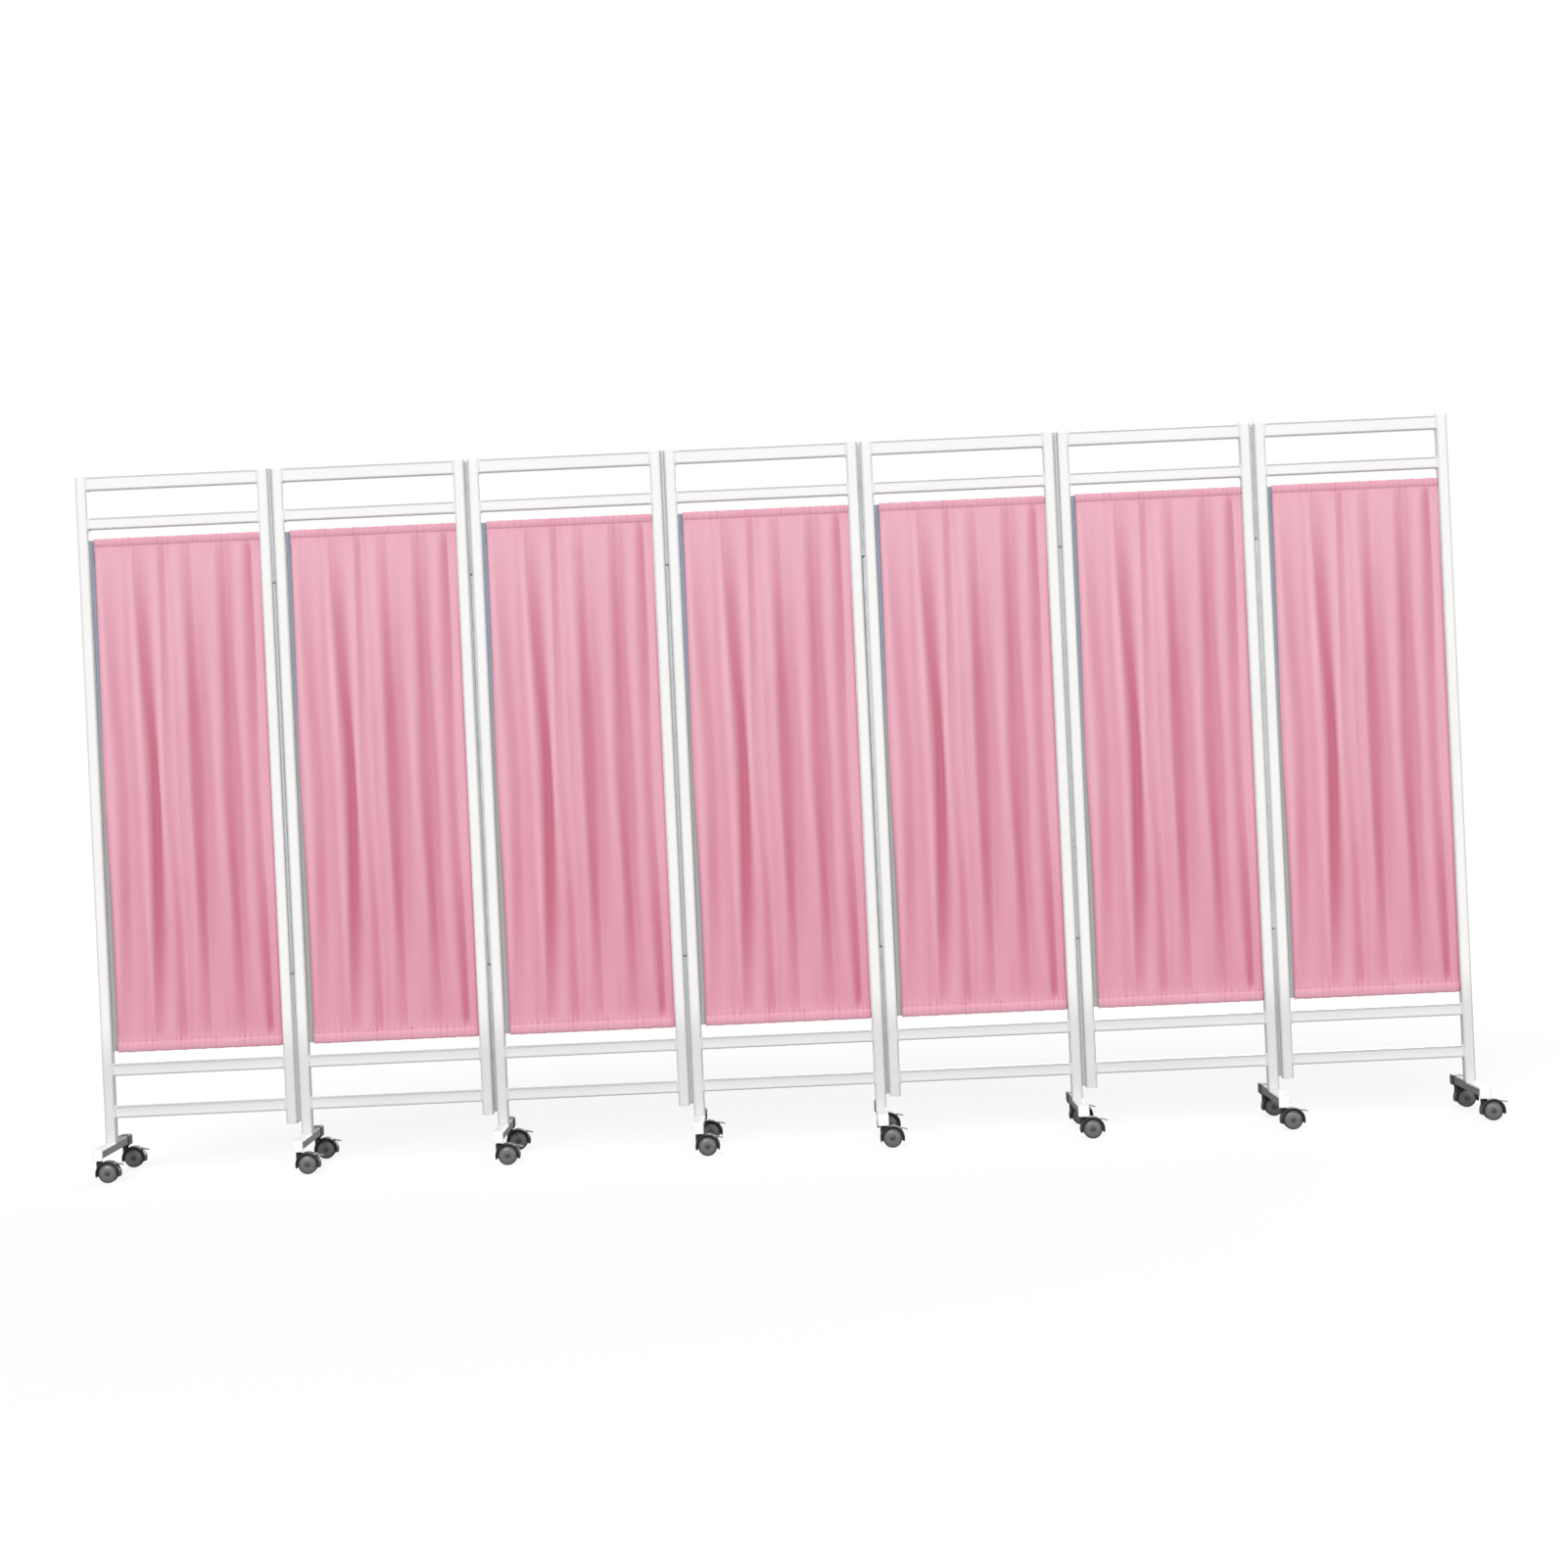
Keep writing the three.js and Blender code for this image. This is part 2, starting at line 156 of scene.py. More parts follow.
class ScreenFinish(bpy.types.PropertyGroup):
    """Colours of the screen's finishes"""

    tube_paint: colour("Tube paint", "Powder coat of the frames", 246, 246, 245)
    cap_plastic: colour("Cap plastic", "Post caps and foot end covers", 250, 250, 249)
    cloth: colour("Curtain", "Dye of the cloth on its crests", 241, 187, 202)
    # Painted shade: the cloth is painted towards this colour down in its folds, its receding gathers and along its
    # right edge; stitches use a darker copy of it
    cloth_fold_shade: colour("Curtain, deep", "Dye of the cloth down in its folds", 200, 114, 136)
    # Painted shade: the grey strip down each curtain's left edge stands in for the shaded gap between post and cloth
    painted_edge_shade: colour("Edge tape", "Tape down a curtain's left edge, low down", 182, 182, 183)
    painted_edge_shade_high: colour("Edge tape, high", "The same tape in its upper half", 164, 173, 186)
    steel: colour("Steel", "Zinc plated hinges and rods", 196, 199, 202)
    housing: colour("Castor plastic", "Hoods, bosses and rear foot sleeves", 38, 37, 39)
    brake: colour("Brake plastic", "Brake tabs of the castors", 120, 121, 124)
    wheel_face: colour("Wheel face", "Glossy face of the castor wheels", 110, 109, 111)
    tread: colour("Tread", "Rubber of the castor wheels", 72, 72, 74)
    foot_paint: colour("Foot paint", "Dark paint of the foot bars", 118, 118, 120)


class ScreenStage(bpy.types.PropertyGroup):
    """Light, floor and camera"""

    key: amount("Key light", "Soft light from the front left", 2.18)
    fill: amount("Fill light", "Soft light from the front right", 0.40)
    back: amount("Back light", "Soft light from behind", 1.4)
    sky: amount("Room light", "Even light all round", 0.3)
    lens: amount("Lens", "Focal length of the camera", 69.14, 1.0, unit="CAMERA")
    camera: FloatVectorProperty(
        name="Camera", description="Where the camera stands", default=(0.0202, -7.7314, 0.9632),
        subtype="XYZ", unit="LENGTH",
    )
    pan: turning("Pan", "Turn of the camera to the left", 0.166)
    tilt: turning("Tilt", "Upward tilt of the camera", -0.278)
    roll: turning("Roll", "Roll of the camera about its view", -2.614)


# Surfaces


class Skin:
    """One surface: its points, its faces as arrays of point numbers, and a mark on each point."""

    def __init__(self, points, faces, marks=0.0):
        self.points, self.faces = points, faces
        self.marks = np.broadcast_to(np.asarray(marks, float), len(points))


def quarter(count):
    """Sine and cosine over a quarter turn in equal steps."""
    turn = np.linspace(0, np.pi / 2, count)
    return np.sin(turn), np.cos(turn)


def bell(distance, reach):
    """1 at no distance, fading as exp(-(distance / reach) ** 2)."""
    return np.exp(-((distance / reach) ** 2))


def smooth_step(value, low, high):
    """0 up to low, 1 from high on, and t * t * (3 - 2 * t) between, t being the share of the way."""
    t = np.clip((value - low) / (high - low), 0, 1)
    return t * t * (3 - 2 * t)


def wave(turns):
    """A sine, one wave long for each whole turn."""
    return np.sin(2 * np.pi * turns)


def outward(points, faces):
    """The same faces, turned outward.

    They are read backwards if the volume inside, a sixth of the summed triple products of their triangles, is
    negative.
    """
    volume = 0.0
    for block in faces:
        for k in range(1, block.shape[1] - 1):
            a, b, c = (points[block[:, i]] for i in (0, k, k + 1))
            volume += np.einsum("ij,ij->", a, np.cross(b, c)) / 6
    return faces if volume > 0 else [block[:, ::-1] for block in faces]


def skin(rings, marks=0.0, looped=False):
    """A closed surface over rings of points, joined by four-cornered faces.

    Looped rings join last to first; otherwise a fan round its middle closes each end ring.
    """
    rows, columns = rings.shape[:2]
    number = np.arange(rows * columns).reshape(rows, columns)
    near = number if looped else number[:-1]
    far = np.roll(number, -1, 0) if looped else number[1:]
    quads = np.stack([near, np.roll(near, -1, 1), np.roll(far, -1, 1), far], -1).reshape(-1, 4)
    points, faces = rings.reshape(-1, 3), [quads]
    marks = np.broadcast_to(np.asarray(marks, float), (rows, columns)).reshape(-1)
    if not looped:
        points = np.concatenate([points, rings[[0, -1]].mean(1)])
        marks = np.concatenate([marks, [marks[0], marks[-1]]])
        hub = np.full(columns, rows * columns)
        start, end = number[0], number[-1]
        faces.append(np.stack([hub, np.roll(start, -1), start], -1))
        faces.append(np.stack([hub + 1, end, np.roll(end, -1)], -1))
    return Skin(points, outward(points, faces), marks)


def outline(width, depth, radius, steps=5, hold=HOLD):
    """Sections of a bar with rounded corners, one for each width, depth and radius.

    Each corner is its centre plus radius times (cos a, sin a) for a quarter turn of a. Points at `hold` beside
    the arcs keep the flats flat.
    """
    sizes = np.broadcast_arrays(*(np.atleast_1d(size) for size in (width, depth, radius)))
    width, depth, radius = (size.reshape(-1, 1, 1) for size in sizes)
    corner = np.arange(4).reshape(1, 4, 1)
    turn = (corner + np.linspace(0, 1, steps + 1)) * np.pi / 2
    facing = (corner + 0.5) * np.pi / 2
    x = np.sign(np.cos(facing)) * (width / 2 - radius) + radius * np.cos(turn)
    y = np.sign(np.sin(facing)) * (depth / 2 - radius) + radius * np.sin(turn)
    first, last = turn[..., :1], turn[..., -1:]
    x = np.concatenate([x[..., :1] + hold * np.sin(first), x, x[..., -1:] - hold * np.sin(last)], -1)
    y = np.concatenate([y[..., :1] - hold * np.cos(first), y, y[..., -1:] + hold * np.cos(last)], -1)
    return np.stack([x, y], -1).reshape(len(width), -1, 2)


def outline_marks(steps=5):
    """1 on the arcs of an outline and 0 on its flats."""
    return np.tile(np.concatenate([[0.0], np.ones(steps + 1), [0.0]]), 4)


def carried(sections, places, across, up):
    """Rings of points: from its place, each section's points go along `across` and `up`."""
    places, across, up = (np.asarray(v, float) for v in (places, across, up))
    across, up = (v.reshape(-1, 1, 3) for v in (across, up))
    return places.reshape(-1, 1, 3) + sections[..., :1] * across + sections[..., 1:] * up


def ended(start, end, edge=0.0004, steps=2):
    """Stations of a straight bar, and how far its section is drawn in at each.

    Each end edge is a quarter round, with a station just inside it that keeps the sides flat.
    """
    sine, cosine = quarter(steps + 1)
    place, inset = np.append(edge + HOLD, edge * (1 - sine)), np.append(0.0, edge * (1 - cosine))
    return np.concatenate([start + place[::-1], end - place]), np.concatenate([inset[::-1], inset])


def swept(place, width, depth, radius, axis, centre, hold=HOLD):
    """A bar along an axis: at each place a rounded section of its own width, depth and radius."""
    along, across, up = np.eye(3)[list(AXES[axis])]
    places = np.asarray(centre, float) + place[:, None] * along
    return skin(carried(outline(width, depth, radius, hold=hold), places, across, up), outline_marks())


def square_bar(place, inset, radius, axis, centre):
    """A square bar as wide as the tubes, drawn in by an inset at each place."""
    size = TUBE - 2 * inset
    return swept(place, size, size, radius, axis, centre)


def bar(start, end, width, depth, radius, axis, centre, hold=HOLD):
    """A straight bar with rounded edges, drawn in at both ends."""
    place, inset = ended(start, end)
    radius = np.maximum(radius - inset, radius / 2)
    return swept(place, width - 2 * inset, depth - 2 * inset, radius, axis, centre, hold)


def turned(profile, centre, axis="z", sides=32, marks=0.0):
    """A turned profile: each (radius, place) of it becomes a ring, radius times (cos a, sin a)."""
    radius, place = np.asarray(profile, float).T[..., None]
    angle = np.arange(sides) / sides * 2 * np.pi
    parts = [radius * np.cos(angle), radius * np.sin(angle)]
    parts.insert("xyz".index(axis), place + 0 * angle)
    marks = np.asarray(marks, float)
    return skin(np.stack(parts, -1) + np.asarray(centre, float), marks[:, None] if marks.ndim else marks)


def rounded_rod(radius, start, end, edge=0.0005, steps=3):
    """Profile of a round bar whose end edges are quarter rounds."""
    place, inset = ended(start, end, edge, steps)
    return np.stack([radius - inset, place], 1)


def smooth_line(knots, per_span):
    """A smooth line: between two knots, the cubic whose slope at each is half the step past it."""
    knots = np.asarray(knots, float)
    padded = np.concatenate([2 * knots[:1] - knots[1:2], knots, 2 * knots[-1:] - knots[-2:-1]])
    before, start, end, after = (padded[i : len(knots) - 1 + i, None] for i in range(4))
    t = np.linspace(0, 1, per_span, endpoint=False)[None, :, None]
    line = 0.5 * (
        2 * start + (end - before) * t + (2 * before - 5 * start + 4 * end - after) * t**2
        + (3 * start - before - 3 * end + after) * t**3
    )
    return np.concatenate([line.reshape(-1, knots.shape[1]), knots[-1:]])


def point_values(mesh, name, values):
    """Keeps a number on each point of a mesh."""
    mesh.attributes.new(name, "FLOAT", "POINT").data.foreach_set("value", values.astype(np.float32))


def seen_piece(name, skins, maker, body, stood_for=None, sharp=32.0):
    """Makes one piece of surfaces, with its finish, riding on its body."""
    points = np.concatenate([each.points for each in skins])
    starts = np.cumsum([0] + [len(each.points) for each in skins[:-1]])
    blocks = [block + start for each, start in zip(skins, starts) for block in each.faces]
    corners = np.concatenate([block.reshape(-1) for block in blocks])
    sizes = np.concatenate([np.full(len(block), block.shape[1]) for block in blocks])
    mesh = bpy.data.meshes.new(name)
    mesh.vertices.add(len(points))
    mesh.vertices.foreach_set("co", points.astype(np.float32).reshape(-1))
    mesh.loops.add(len(corners))
    mesh.loops.foreach_set("vertex_index", corners.astype(np.int32))
    mesh.polygons.add(len(sizes))
    mesh.polygons.foreach_set("loop_start", (np.cumsum(sizes) - sizes).astype(np.int32))
    mesh.polygons.foreach_set("use_smooth", np.ones(len(sizes), bool))
    mesh.update(calc_edges=True)
    if mesh.validate():
        raise RuntimeError(f"{name} has faces that aren't sound")
    mesh.set_sharp_from_angle(angle=math.radians(sharp))
    point_values(mesh, "mark", np.concatenate([each.marks for each in skins]))
    mesh.materials.append(finish(maker))
    made = placed_object(name, mesh)
    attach(made, body)
    if stood_for:
        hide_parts(stood_for)
    return made


def placed_object(name, data):
    """An object in the scene."""
    made = bpy.data.objects.new(name, data)
    bpy.context.scene.collection.objects.link(made)
    return made


# Finishes


class Socket:
    """An output of a node. Sums, products and powers of it add Math nodes."""

    def __init__(self, finish, output):
        self.finish, self.output = finish, output

    def __add__(self, other):
        return self.finish.maths("ADD", self, other)

    def __sub__(self, other):
        return self.finish.maths("SUBTRACT", self, other)

    def __rsub__(self, other):
        return self.finish.maths("SUBTRACT", other, self)

    def __mul__(self, other):
        return self.finish.maths("MULTIPLY", self, other)

    def __pow__(self, other):
        return self.finish.maths("POWER", self, other)

    __radd__ = __add__
    __rmul__ = __mul__


class Finish:
    """A material or a world, made node by node."""

    def __init__(self, name, kept_in="materials"):
        self.material = getattr(bpy.data, kept_in).new(name)
        self.material.use_nodes = True
        self.tree = self.material.node_tree
        self.tree.nodes.clear()

    def node(self, kind, settings=None, sockets=None, output=0):
        """Adds a node, sets it, and fills or links its sockets. Gives one of its outputs."""
        made = self.tree.nodes.new("ShaderNode" + kind)
        for key, value in (settings or {}).items():
            setattr(made, key, value)
        for key, value in (sockets or {}).items():
            if isinstance(value, Socket):
                self.tree.links.new(value.output, made.inputs[key])
            else:
                made.inputs[key].default_value = value
        return Socket(self, made.outputs[output]) if made.outputs else None

    def maths(self, operation, first, second, clamp=False):
        return self.node("Math", {"operation": operation, "use_clamp": clamp}, {0: first, 1: second})

    def waves(self, along, length):
        """Sine waves of a length along a value, from -1 to 1."""
        return self.maths("SINE", along * (2 * math.pi / length), 0.0)

    def between(self, value, low, high):
        """0 up to low, 1 from high on, and smooth between."""
        sockets = {0: value, 1: low, 2: high, 3: 0.0, 4: 1.0}
        return self.node("MapRange", {"interpolation_type": "SMOOTHSTEP"}, sockets)

    def mix(self, share, first, second):
        first, second = (each if isinstance(each, Socket) else (*each, 1.0) for each in (first, second))
        return self.node("Mix", {"data_type": "RGBA"}, {0: share, 6: first, 7: second}, 2)

    def noise(self, place, scale, detail=2.0):
        return self.node("TexNoise", None, {"Vector": place, "Scale": scale, "Detail": detail}, "Fac")

    def stretched(self, place, *scale):
        return self.node("VectorMath", {"operation": "MULTIPLY"}, {0: place, 1: scale})

    def place(self, kind="Object"):
        return self.node("TexCoord", output=kind)

    def part(self, vector, axis):
        return self.node("SeparateXYZ", None, {0: vector}, axis)

    def mark(self, name="mark"):
        return self.node("Attribute", {"attribute_name": name}, output="Fac")

    def bump(self, height, strength, distance, under=None):
        sockets = {"Height": height, "Strength": strength, "Distance": distance}
        return self.node("Bump", None, sockets | ({"Normal": under} if under else {}))

    def white(self, kind, level=1.0, **sockets):
        """A shader of an even grey of this level, or white."""
        return self.node(kind, None, {"Color": (level, level, level, 1.0)} | sockets)

    def ends_in(self, kind, shader):
        """Puts a shader at the end, and gives the material or world."""
        self.node(kind, None, {"Surface": shader})
        return self.material

    def done(self, base, rough, normal, **more):
        """Ends in the common shader. Underlines in further names stand for spaces."""
        sockets = {"Base Color": base, "Roughness": rough, "Normal": normal}
        sockets |= {key.replace("_", " "): value for key, value in more.items()}
        return self.ends_in("OutputMaterial", self.node("BsdfPrincipled", None, sockets))


def tube_paint(f, place, mark, colours):
    """White powder coat: orange-peel skin, faint unevenness, painted shade low down, painted edge shade and scuffs."""
    white = colours.tube_paint
    cloudy = f.noise(place, 3.5, 3.0)
    scuff = f.between(f.noise(f.stretched(place, 1.0, 1.0, 0.25), 160.0, 4.0), 0.55, 0.72)
    low = 1.0 - f.between(f.part(place, "Z"), 0.26, 0.40)
    rubbed = mark * scuff * (0.25 + 0.5 * low)
    unshaded = f.mix(f.between(cloudy, 0.35, 0.75) * 0.6, white, shade(white, (0.955, 0.95, 0.935)))
    # Painted shade low down: below 0.26 m, fading out by 0.40 m, the white is painted towards 0.76 of itself, a little
    # patchy; the lower flats of rails, marked -0.5, get less
    dust_and_shade = low * (0.7 + 0.3 * cloudy + f.maths("MINIMUM", mark, 0.0))
    # Painted edge shade: marked points are painted grey, towards 0.45 of the white; the same marks also carry the
    # scuffed wear
    coat = f.mix(mark * (0.75 + 0.25 * cloudy), f.mix(dust_and_shade, unshaded, shade(white, 0.76)), shade(white, 0.45))
    peel = f.bump(f.noise(place, 700.0, 1.0), 0.05, 0.0004)
    rough = 0.3 + 0.1 * cloudy + 0.2 * rubbed
    return f.done(f.mix(rubbed, coat, shade(white, 0.62)), rough, f.bump(scuff * mark, 0.1, 0.0002, peel))


def cap_plastic(f, place, mark, colours):
    """White moulded plastic: fine grain and a faint warm unevenness."""
    white = colours.cap_plastic
    grain = f.noise(place, 2200.0)
    base = f.mix(f.noise(place, 14.0, 3.0), white, shade(white, (0.985, 0.98, 0.97)))
    return f.done(base, 0.38 + 0.12 * grain, f.bump(grain, 0.12, 0.0003))


def pink_cloth(f, place, mark, colours):
    """Pink woven cloth: crossing threads, uneven dye, slubs, and a stitched line along the pockets.

    Two sine waves a thread apart, along the cloth's own width and length, make the bumps of its weave. Its folds,
    its receding gathers and its right edge carry painted shade.
    """
    place = f.place("UV")
    across, down = f.part(place, "X"), f.part(place, "Y")
    weave = f.waves(across, THREAD) * f.waves(down, THREAD) * 0.5 + 0.5
    slub = f.noise(f.stretched(place, 900.0, 30.0, 1.0), 1.0, 3.0)
    cloudy = f.noise(f.stretched(place, 9.0, 3.0, 1.0), 1.0, 3.0)
    stitch = mark * f.between(f.waves(across, STITCH), -0.2, 0.3)
    uneven = f.between(cloudy * 0.6 + slub * 0.4, 0.3, 0.8) * 0.16 + weave * 0.06
    # Painted shade: the cloth is painted towards its deep colour by the mark of its folds, over the random unevenness
    tone = f.maths("ADD", f.mark("fold_shade") * 0.92, uneven, clamp=True)
    dyed = f.mix(tone, colours.cloth, colours.cloth_fold_shade)
    normal = f.bump(slub - stitch, 0.2, 0.0004, f.bump(weave, 0.25, 0.00015))
    return f.done(
        f.mix(stitch * 0.08, dyed, shade(colours.cloth_fold_shade, 0.72)), 0.86 + 0.1 * slub, normal,
        Sheen_Weight=0.1, Sheen_Roughness=0.5, Specular_IOR_Level=0.15,
    )


def painted_edge_shade(f, place, mark, colours):
    """Grey painted-shade strip: slanting threads, bluer in its upper half, painted shadow darker towards the cloth."""
    low, high = colours.painted_edge_shade, colours.painted_edge_shade_high
    x, z = f.part(place, "X"), f.part(place, "Z")
    rib = f.waves(z + 0.8 * x, 2 * THREAD) * 0.5 + 0.5
    tone = f.maths("ADD", mark**2.0 * 0.75, rib * 0.15 + f.noise(place, 12.0, 3.0) * 0.2, clamp=True)
    upper = f.between(z, 0.95, 1.3)
    shaded = f.mix(upper, shade(low, 0.42), shade(high, (0.26, 0.42, 0.5)))
    return f.done(f.mix(tone, f.mix(upper, low, high), shaded), 0.8 + 0.1 * rib, f.bump(rib, 0.3, 0.0002))


def steel(f, place, mark, colours):
    """Zinc plated steel: fine drawn lines, faint clouding and dull spots, and painted light where it is marked."""
    bright = colours.steel
    drawn = f.noise(f.stretched(place, 2600.0, 2600.0, 24.0), 1.0)
    cloudy = f.noise(place, 26.0, 4.0)
    dull = f.between(f.noise(place, 90.0, 5.0), 0.56, 0.7)
    plain = f.mix(cloudy * 0.5 + dull * 0.4, bright, shade(bright, 0.72))
    # Painted light: marked steel, the barrels and plates behind the screen down in the shaded gaps, is painted paler,
    # towards 1.6 times its colour
    base = f.mix(mark, plain, f.mix(cloudy, shade(bright, 1.6), bright))
    return f.done(base, 0.34 + 0.16 * drawn + 0.2 * dull, f.bump(drawn, 0.08, 0.0002), Metallic=0.55)


def housing_plastic(f, place, mark, colours):
    """Black moulded plastic: fine grain, a little dust, greyer where it is marked."""
    black = colours.housing
    grain = f.noise(place, 1800.0)
    dust_and_shade = f.between(f.noise(place, 60.0, 5.0), 0.5, 0.8)
    grey = tuple(2.6 * part + 0.02 for part in black)
    base = f.mix(dust_and_shade * 0.25 + mark * dust_and_shade * 0.4, black, grey)
    return f.done(base, 0.36 + 0.16 * grain + 0.15 * dust_and_shade, f.bump(grain, 0.15, 0.0003))


def brake_plastic(f, place, mark, colours):
    """Grey moulded plastic, lighter where feet have polished it."""
    grey = colours.brake
    grain = f.noise(place, 1500.0)
    rub = f.between(f.noise(place, 130.0, 4.0), 0.45, 0.75)
    base = f.mix(rub * (0.2 + 0.5 * mark), grey, shade(grey, 1.7))
    return f.done(base, 0.45 + 0.15 * grain, f.bump(grain, 0.15, 0.0003))


def wheel_plastic(f, place, mark, colours):
    """A marked face of glossy grey plastic, and an unmarked tread of dull, dusty rubber."""
    rubber, plastic = colours.tread, colours.wheel_face
    dust_and_shade = f.between(f.noise(place, 85.0, 5.0), 0.45, 0.8)
    pale, glossy = shade(rubber, 1.8), f.between(mark, 0.2, 0.4)
    sides = f.mix(glossy, f.mix(dust_and_shade * 0.4, rubber, pale), f.mix(dust_and_shade * 0.15, plastic, pale))
    base = f.mix(f.between(mark, 0.7, 0.9), sides, shade(plastic, 0.42))
    return f.done(base, 0.62 + 0.15 * dust_and_shade - 0.38 * glossy, f.bump(f.noise(place, 1400.0), 0.08, 0.0002))


def dark_paint(f, place, mark, colours):
    """Dark grey paint: fine speckle, and scuffs along its edges."""
    grey = colours.foot_paint
    speckle = f.noise(place, 900.0)
    scuff = f.between(f.noise(place, 120.0, 5.0), 0.52, 0.75)
    base = f.mix(scuff * (0.12 + 0.5 * mark), grey, shade(grey, 1.8))
    return f.done(base, 0.4 + 0.2 * speckle, f.bump(speckle, 0.06, 0.0003))


def finish(maker):
    """The material that a function above makes, made once."""
    if made := bpy.data.materials.get(maker.__name__):
        return made
    f = Finish(maker.__name__)
    return maker(f, f.place(), f.mark(), bpy.context.scene.screen_finish)


# Tube frames


def footed(panel, side):
    return panel <= MID_PANEL if side < 0 else panel >= MID_PANEL


def post(x, bottom, corner):
    """A square post: a rounded section carried up Z. Its edges are marked lightly, for painted edge shade and wear."""
    made = bar(bottom, TUBE_TOP, TUBE, TUBE, corner, "z", (x, 0, 0), TUBE_HOLD)
    made.marks = made.marks * 0.4
    return made


def rail(panel_x, low, high, corner):
    """A rail: a rounded section carried along X, ending where the flats of the posts begin.

    Its edges are marked for painted edge shade and wear, the lower ones only by a quarter since they lie in real
    shade. The mark -0.5 of the other lower points keeps most of the painted low-down shade off them.
    """
    reach, centre = INNER_HALF + corner, (panel_x, 0, (low + high) / 2)
    made = bar(-reach, reach, TUBE, high - low, corner, "x", centre, TUBE_HOLD)
    lower = np.where(made.marks > 0, 0.25 * made.marks, -0.5)
    made.marks = np.where(made.points[:, 2] > centre[2], made.marks, lower)
    return made


def weld(x, low, high, corner, reach):
    """A weld bead: a rail's outline, carrying an ellipse in the outward direction of each point.

    It goes `reach` to both sides along the rail, and stands out by 0.35 mm in front and behind and by three
    quarters of the reach above and below, times fine ripples.
    """
    ring = outline(TUBE, high - low, corner, 6)[0]
    ahead = np.roll(ring, -1, 0) - ring
    ring = np.concatenate([ring + ahead * t for t in (0.0, 0.25, 0.5, 0.75)], 1).reshape(-1, 2)
    tangent = np.roll(ring, -1, 0) - np.roll(ring, 1, 0)
    normal = np.stack([tangent[:, 1], -tangent[:, 0]], 1)
    normal /= np.linalg.norm(normal, axis=1, keepdims=True)
    travelled = np.cumsum(np.linalg.norm(ring - np.roll(ring, 1, 0), axis=1))
    stands = BEAD_FRONT + (0.75 * reach - BEAD_FRONT) * normal[:, 1] ** 2
    stands *= 1 + 0.16 * wave(travelled / BEAD_RIPPLE)
    turns = np.arange(10) / 10
    out = stands[:, None] * wave(turns)
    y, z = (ring[:, [k]] + normal[:, [k]] * out for k in (0, 1))
    points = np.stack([x + reach * wave(turns + 0.25) + 0 * out, y, z + (low + high) / 2], -1)
    # The mark 0.3 gives the bead a little of the painted edge shade and of the edge wear
    return skin(points, 0.3, looped=True)


def post_cap(x, corner, cap_corner):
    """A moulded cap: the post's section, drawn in at a groove over the tube, then rounded over to a flat top.

    There it is drawn in by cap_corner times (1 - cos a) while it rises by cap_corner times sin a.
    """
    sine, cosine = quarter(7)
    inset = np.concatenate([[0.0016, 0.0016, 0.0004, 0.0], cap_corner * (1 - cosine)])
    level = np.concatenate([[-0.0025, 0.0, 0.0, 0.0004], SCREEN_TOP - TUBE_TOP - cap_corner * (1 - sine)])
    return square_bar(level + TUBE_TOP, inset, np.maximum(corner - 0.3 * inset, 0.001), "z", (x, 0, 0))


def end_plug(x, corner):
    """A flat plug in the lower end of a short post, with a rounded rim."""
    sine, cosine = quarter(4)
    inset = np.concatenate([0.0002 + 0.0012 * (1 - sine), [0.0002, 0.0020, 0.0020]])
    level = np.concatenate([0.0012 * (1 - cosine), [0.0018, 0.0018, 0.006]])
    return square_bar(level + SHORT_POST_END, inset, corner, "z", (x, 0, 0))


class SCREEN_OT_tube_frames(bpy.types.Operator):
    """Make the welded tube frames, two posts and four rails each"""

    bl_idname = "ward_screen.tube_frames"
    bl_label = "Tube frames"

    def execute(self, context):
        shape = context.scene.screen_shape
        corner = shape.tube_corner
        for panel in PANELS:
            x, parts = PANEL_X[panel], []
            for side in SIDES:
                bottom = FOOT_TOP - 0.001 if footed(panel, side) else SHORT_POST_END + 0.0018
                parts.append(post(x + side * POST_PLACE, bottom, corner))
            for low, high in RAILS:
                parts.append(rail(x, low, high, corner))
                ends = [x + side * (INNER_HALF - 0.0002) for side in SIDES]
                parts += [weld(end, low, high, corner, shape.bead_reach) for end in ends]
            seen_piece(f"frame_tubes_{panel}", parts, tube_paint, f"panel_{panel}", f"frame_{panel}")
        return {"FINISHED"}


class SCREEN_OT_post_caps(bpy.types.Operator):
    """Make the caps on the posts and the plugs under the short ones"""

    bl_idname = "ward_screen.post_caps"
    bl_label = "Post caps"

    def execute(self, context):
        shape = context.scene.screen_shape
        for panel in PANELS:
            parts = []
            for side in SIDES:
                x = PANEL_X[panel] + side * POST_PLACE
                parts.append(post_cap(x, shape.tube_corner, shape.cap_corner))
                if not footed(panel, side):
                    parts.append(end_plug(x, shape.tube_corner))
            seen_piece(f"post_caps_{panel}", parts, cap_plastic, f"panel_{panel}")
        return {"FINISHED"}


# Curtains


class SCREEN_OT_curtain_rods(bpy.types.Operator):
    """Make the two rods that each curtain is threaded on"""

    bl_idname = "ward_screen.curtain_rods"
    bl_label = "Curtain rods"

    def execute(self, context):
        profile = rounded_rod(CURTAIN_ROD, -INNER_HALF - 0.0004, INNER_HALF + 0.0004)
        for panel in PANELS:
            parts = [turned(profile, (PANEL_X[panel], 0, level), "x") for level in ROD_LEVELS]
            seen_piece(f"curtain_rods_{panel}", parts, steel, f"panel_{panel}")
        return {"FINISHED"}


# A pocket's last points, from its seam on, hang with the cloth
PAST_SEAM = 9
# The left edge and the folds are stated at five levels, evenly spaced from the upper seam to the lower one
LEFT_EDGE = np.array([0.0118, 0.0112, 0.0094, 0.0140, 0.0135])
